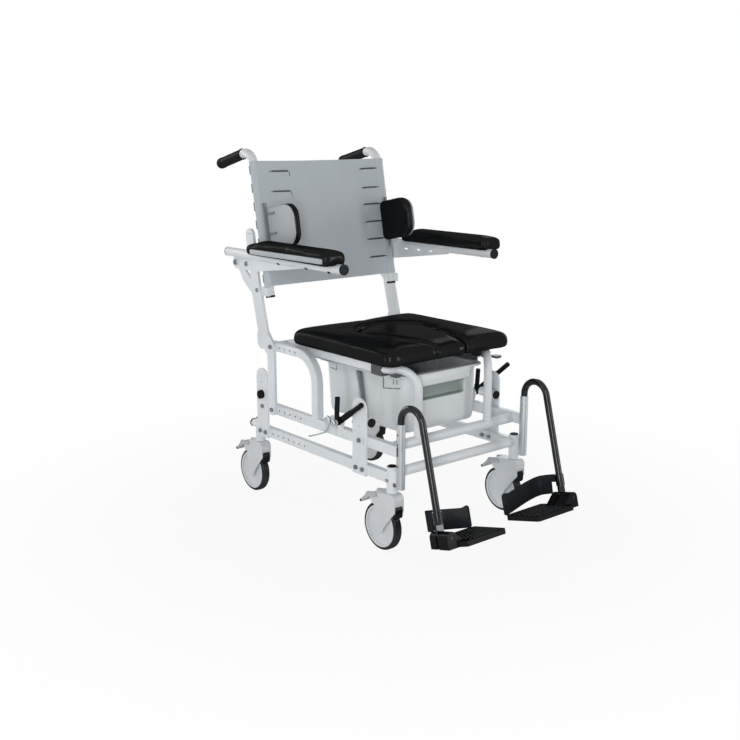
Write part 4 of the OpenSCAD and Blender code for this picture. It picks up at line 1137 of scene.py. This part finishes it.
def rod(path, radius, steps=14):
    """Round rod with domed ends along a path of points."""
    turns = [2 * math.pi * i / steps for i in range(steps)]
    last = len(path) - 1
    rings = []
    for k, p in enumerate(path):
        ahead = (path[min(k + 1, last)] - path[max(k - 1, 0)]).normalized()
        side = ahead.orthogonal().normalized()
        up = ahead.cross(side)
        stations = [(0.0, 1.0)]
        if k == 0:
            stations = [(-0.9, 0.45), (-0.5, 0.85)] + stations
        if k == last:
            stations += [(0.5, 0.85), (0.9, 0.45)]
        for along, share in stations:
            middle = p + ahead * radius * along
            rings.append([middle + (side * math.cos(a) + up * math.sin(a)) * radius * share for a in turns])
    return loft(rings)


def make_arm_screws():
    """Caps on the bolts of the arm and the upright, and screws under the arm tube."""
    cap = [(0.90, -0.6), (0.96, 0.6), (0.88, 2.4), (0.62, 3.6), (0.44, 3.8), (0.4, 2.6), (0.1, 2.6)]
    head = [(4.2, -1.0), (4.6, 0.2), (4.2, 1.6), (2.8, 2.4), (2.2, 2.5), (1.8, 1.6), (0.3, 1.6)]
    for name, side in SIDES:
        out = Vector((side, 0, 0))
        bolts = ((name + "_pivot_cap", "chassis", 255.4, 312.0, 675.0, 8.6),
                 (name + "_upright_cap", "chassis", 243.8, 222.0, 605.0, 6.4),
                 (name + "_stop_cap", name + "_arm", 254.8, 257.0, 675.0, 7.2))
        for piece, body, x, y, z, r in bolts:
            form = lathe(at(side * x, y, z), out, [(r * k, h) for k, h in cap], 28)
            new_piece(piece, form, "bolt", body, sharp=40.0)
        down = Vector((side * 0.5, 0, -0.866))
        screws = []
        for y in (80.0, -45.0, -140.0):
            screws.append(lathe(at(side * (ARM_X + 6.1), y, ARM_Z - 10.7), down, head, 18))
        new_piece(name + "_arm_screws", join(screws), "black", name + "_arm", sharp=40.0)


def make_lever_hardware():
    """Steel housing, pivot nut and bent rod beside each pair of levers, and the sleeve screws."""
    housing = [(2.0, 0.0), (13.0, 0.0), (13.4, 1.0), (13.2, 4.2), (11.8, 5.4), (8.0, 5.6), (7.4, 4.4),
               (3.0, 4.4), (0.5, 4.4)]
    nut = [(1.0, 0.0), (7.6, 0.0), (8.0, 0.8), (7.8, 4.0), (6.6, 5.0), (4.2, 5.2), (3.8, 4.0), (0.5, 4.0)]
    dome = [(0.8, -1.0), (5.2, -1.0), (5.6, 0.4), (5.0, 2.2), (3.4, 3.2), (2.6, 3.3), (2.2, 2.2),
            (0.4, 2.2)]
    bent = smooth_line([(-113, 294), (-106, 284), (-97, 272), (-86, 266), (-60, 256), (-27, 243.5)])
    for name, side in SIDES:
        out = Vector((side, 0, 0))
        path = [at(side * 252.5, p.x, p.y) for p in bent]
        parts = [lathe(at(side * 258.4, -117, 306), out, housing, 32),
                 lathe(at(side * 260.7, -146, 306), out, nut, 24), rod(path, 0.0036)]
        new_piece(name + "_lever_hardware", join(parts), "socket", "chassis", sharp=40.0)
        screws = [lathe(at(side * 233.6, -322, 193), out, dome, 20),
                  lathe(at(side * 227.0, -344, 184), out, dome, 20)]
        new_piece(name + "_sleeve_screws", join(screws), "bolt", "chassis", sharp=40.0)


# Footplate studs

FOOT_OUTLINE = [(26, -57), (154, -57), (161, -51), (161, 52), (156, 57), (31, 57), (44, 40), (44, -27),
                (26, -29)]
STUD_PITCH_X, STUD_PITCH_Y = 10.0, 8.6
STUD_PROFILE = ((2.6, -13.4), (2.5, -12.5), (1.9, -11.9), (0.9, -11.65))


def inside(point, outline, margin):
    """True for a point inside the outline and at least margin from it."""
    spots = np.array(outline, dtype=float)
    gap = outline_distance(np.array([point], dtype=float), spots)[0]
    x, y = point
    hit = False
    for (x0, y0), (x1, y1) in zip(outline, outline[1:] + outline[:1]):
        if (y0 > y) != (y1 > y) and x < (x1 - x0) * (y - y0) / (y1 - y0) + x0:
            hit = not hit
    return hit and gap > margin


def make_foot_studs():
    """Low studs in staggered rows on each footplate."""
    turns = [k * math.pi / 5 for k in range(10)]
    for name, side in SIDES:
        parts = []
        row = 0
        y = -54.0
        while y < 57.0:
            x = 20.0 + STUD_PITCH_X / 2 * (row % 2)
            while x < 168.0:
                if inside((x, y), FOOT_OUTLINE, 5.5):
                    rings = []
                    for r, h in STUD_PROFILE:
                        ring = [in_hinge(side, x + r * math.cos(a), y + r * math.sin(a), h) for a in turns]
                        rings.append(ring)
                    parts.append(loft(rings))
                x += STUD_PITCH_X
            y += STUD_PITCH_Y
            row += 1
        new_piece(name + "_foot_studs", join(parts), "stud", name + "_foot")


# Lamps: name, place, target, width and height in metres, power in watts
LAMPS = (
    ("key", (-2.5, -2.5, 1.2), (0, 0, 0.5), (0.45, 2.2), 49.0),
    ("side", (-3.2, 0.6, 1.0), (0, 0, 0.5), (0.5, 2.0), 15.0),
    ("fill", (1.8, -3.0, 1.1), (0, 0, 0.5), (0.5, 2.0), 24.0),
    ("top", (-0.3, 0.2, 3.2), (0, 0, 0.4), (1.8, 1.8), 2.0),
    ("left", (3.2, -0.1, 1.3), (0, 0, 0.5), (0.8, 2.0), 22.0),
    ("rim", (2.6, 1.8, 1.6), (0, 0, 0.6), (0.6, 1.6), 10.0),
    ("back", (-1.2, 3.3, 1.5), (0, 0, 0.5), (1.4, 2.0), 34.0),
)

make_camera()
make_world()
make_floor()
for lamp in LAMPS:
    area_light(*lamp)
SCENE.view_settings.view_transform = "Standard"
paint_nodes()
make_seat()
make_arm_pads()
make_lateral_pads()
swell_pads()
make_cover()
make_slit_shadows()
make_straps()
make_grips()
make_heel_bands()
make_foot_studs()
make_pan()
make_pan_shadow_lines()
make_rail_clips()
make_pedal_shoes()
make_hood_liners()
make_lever_hardware()
make_arm_screws()
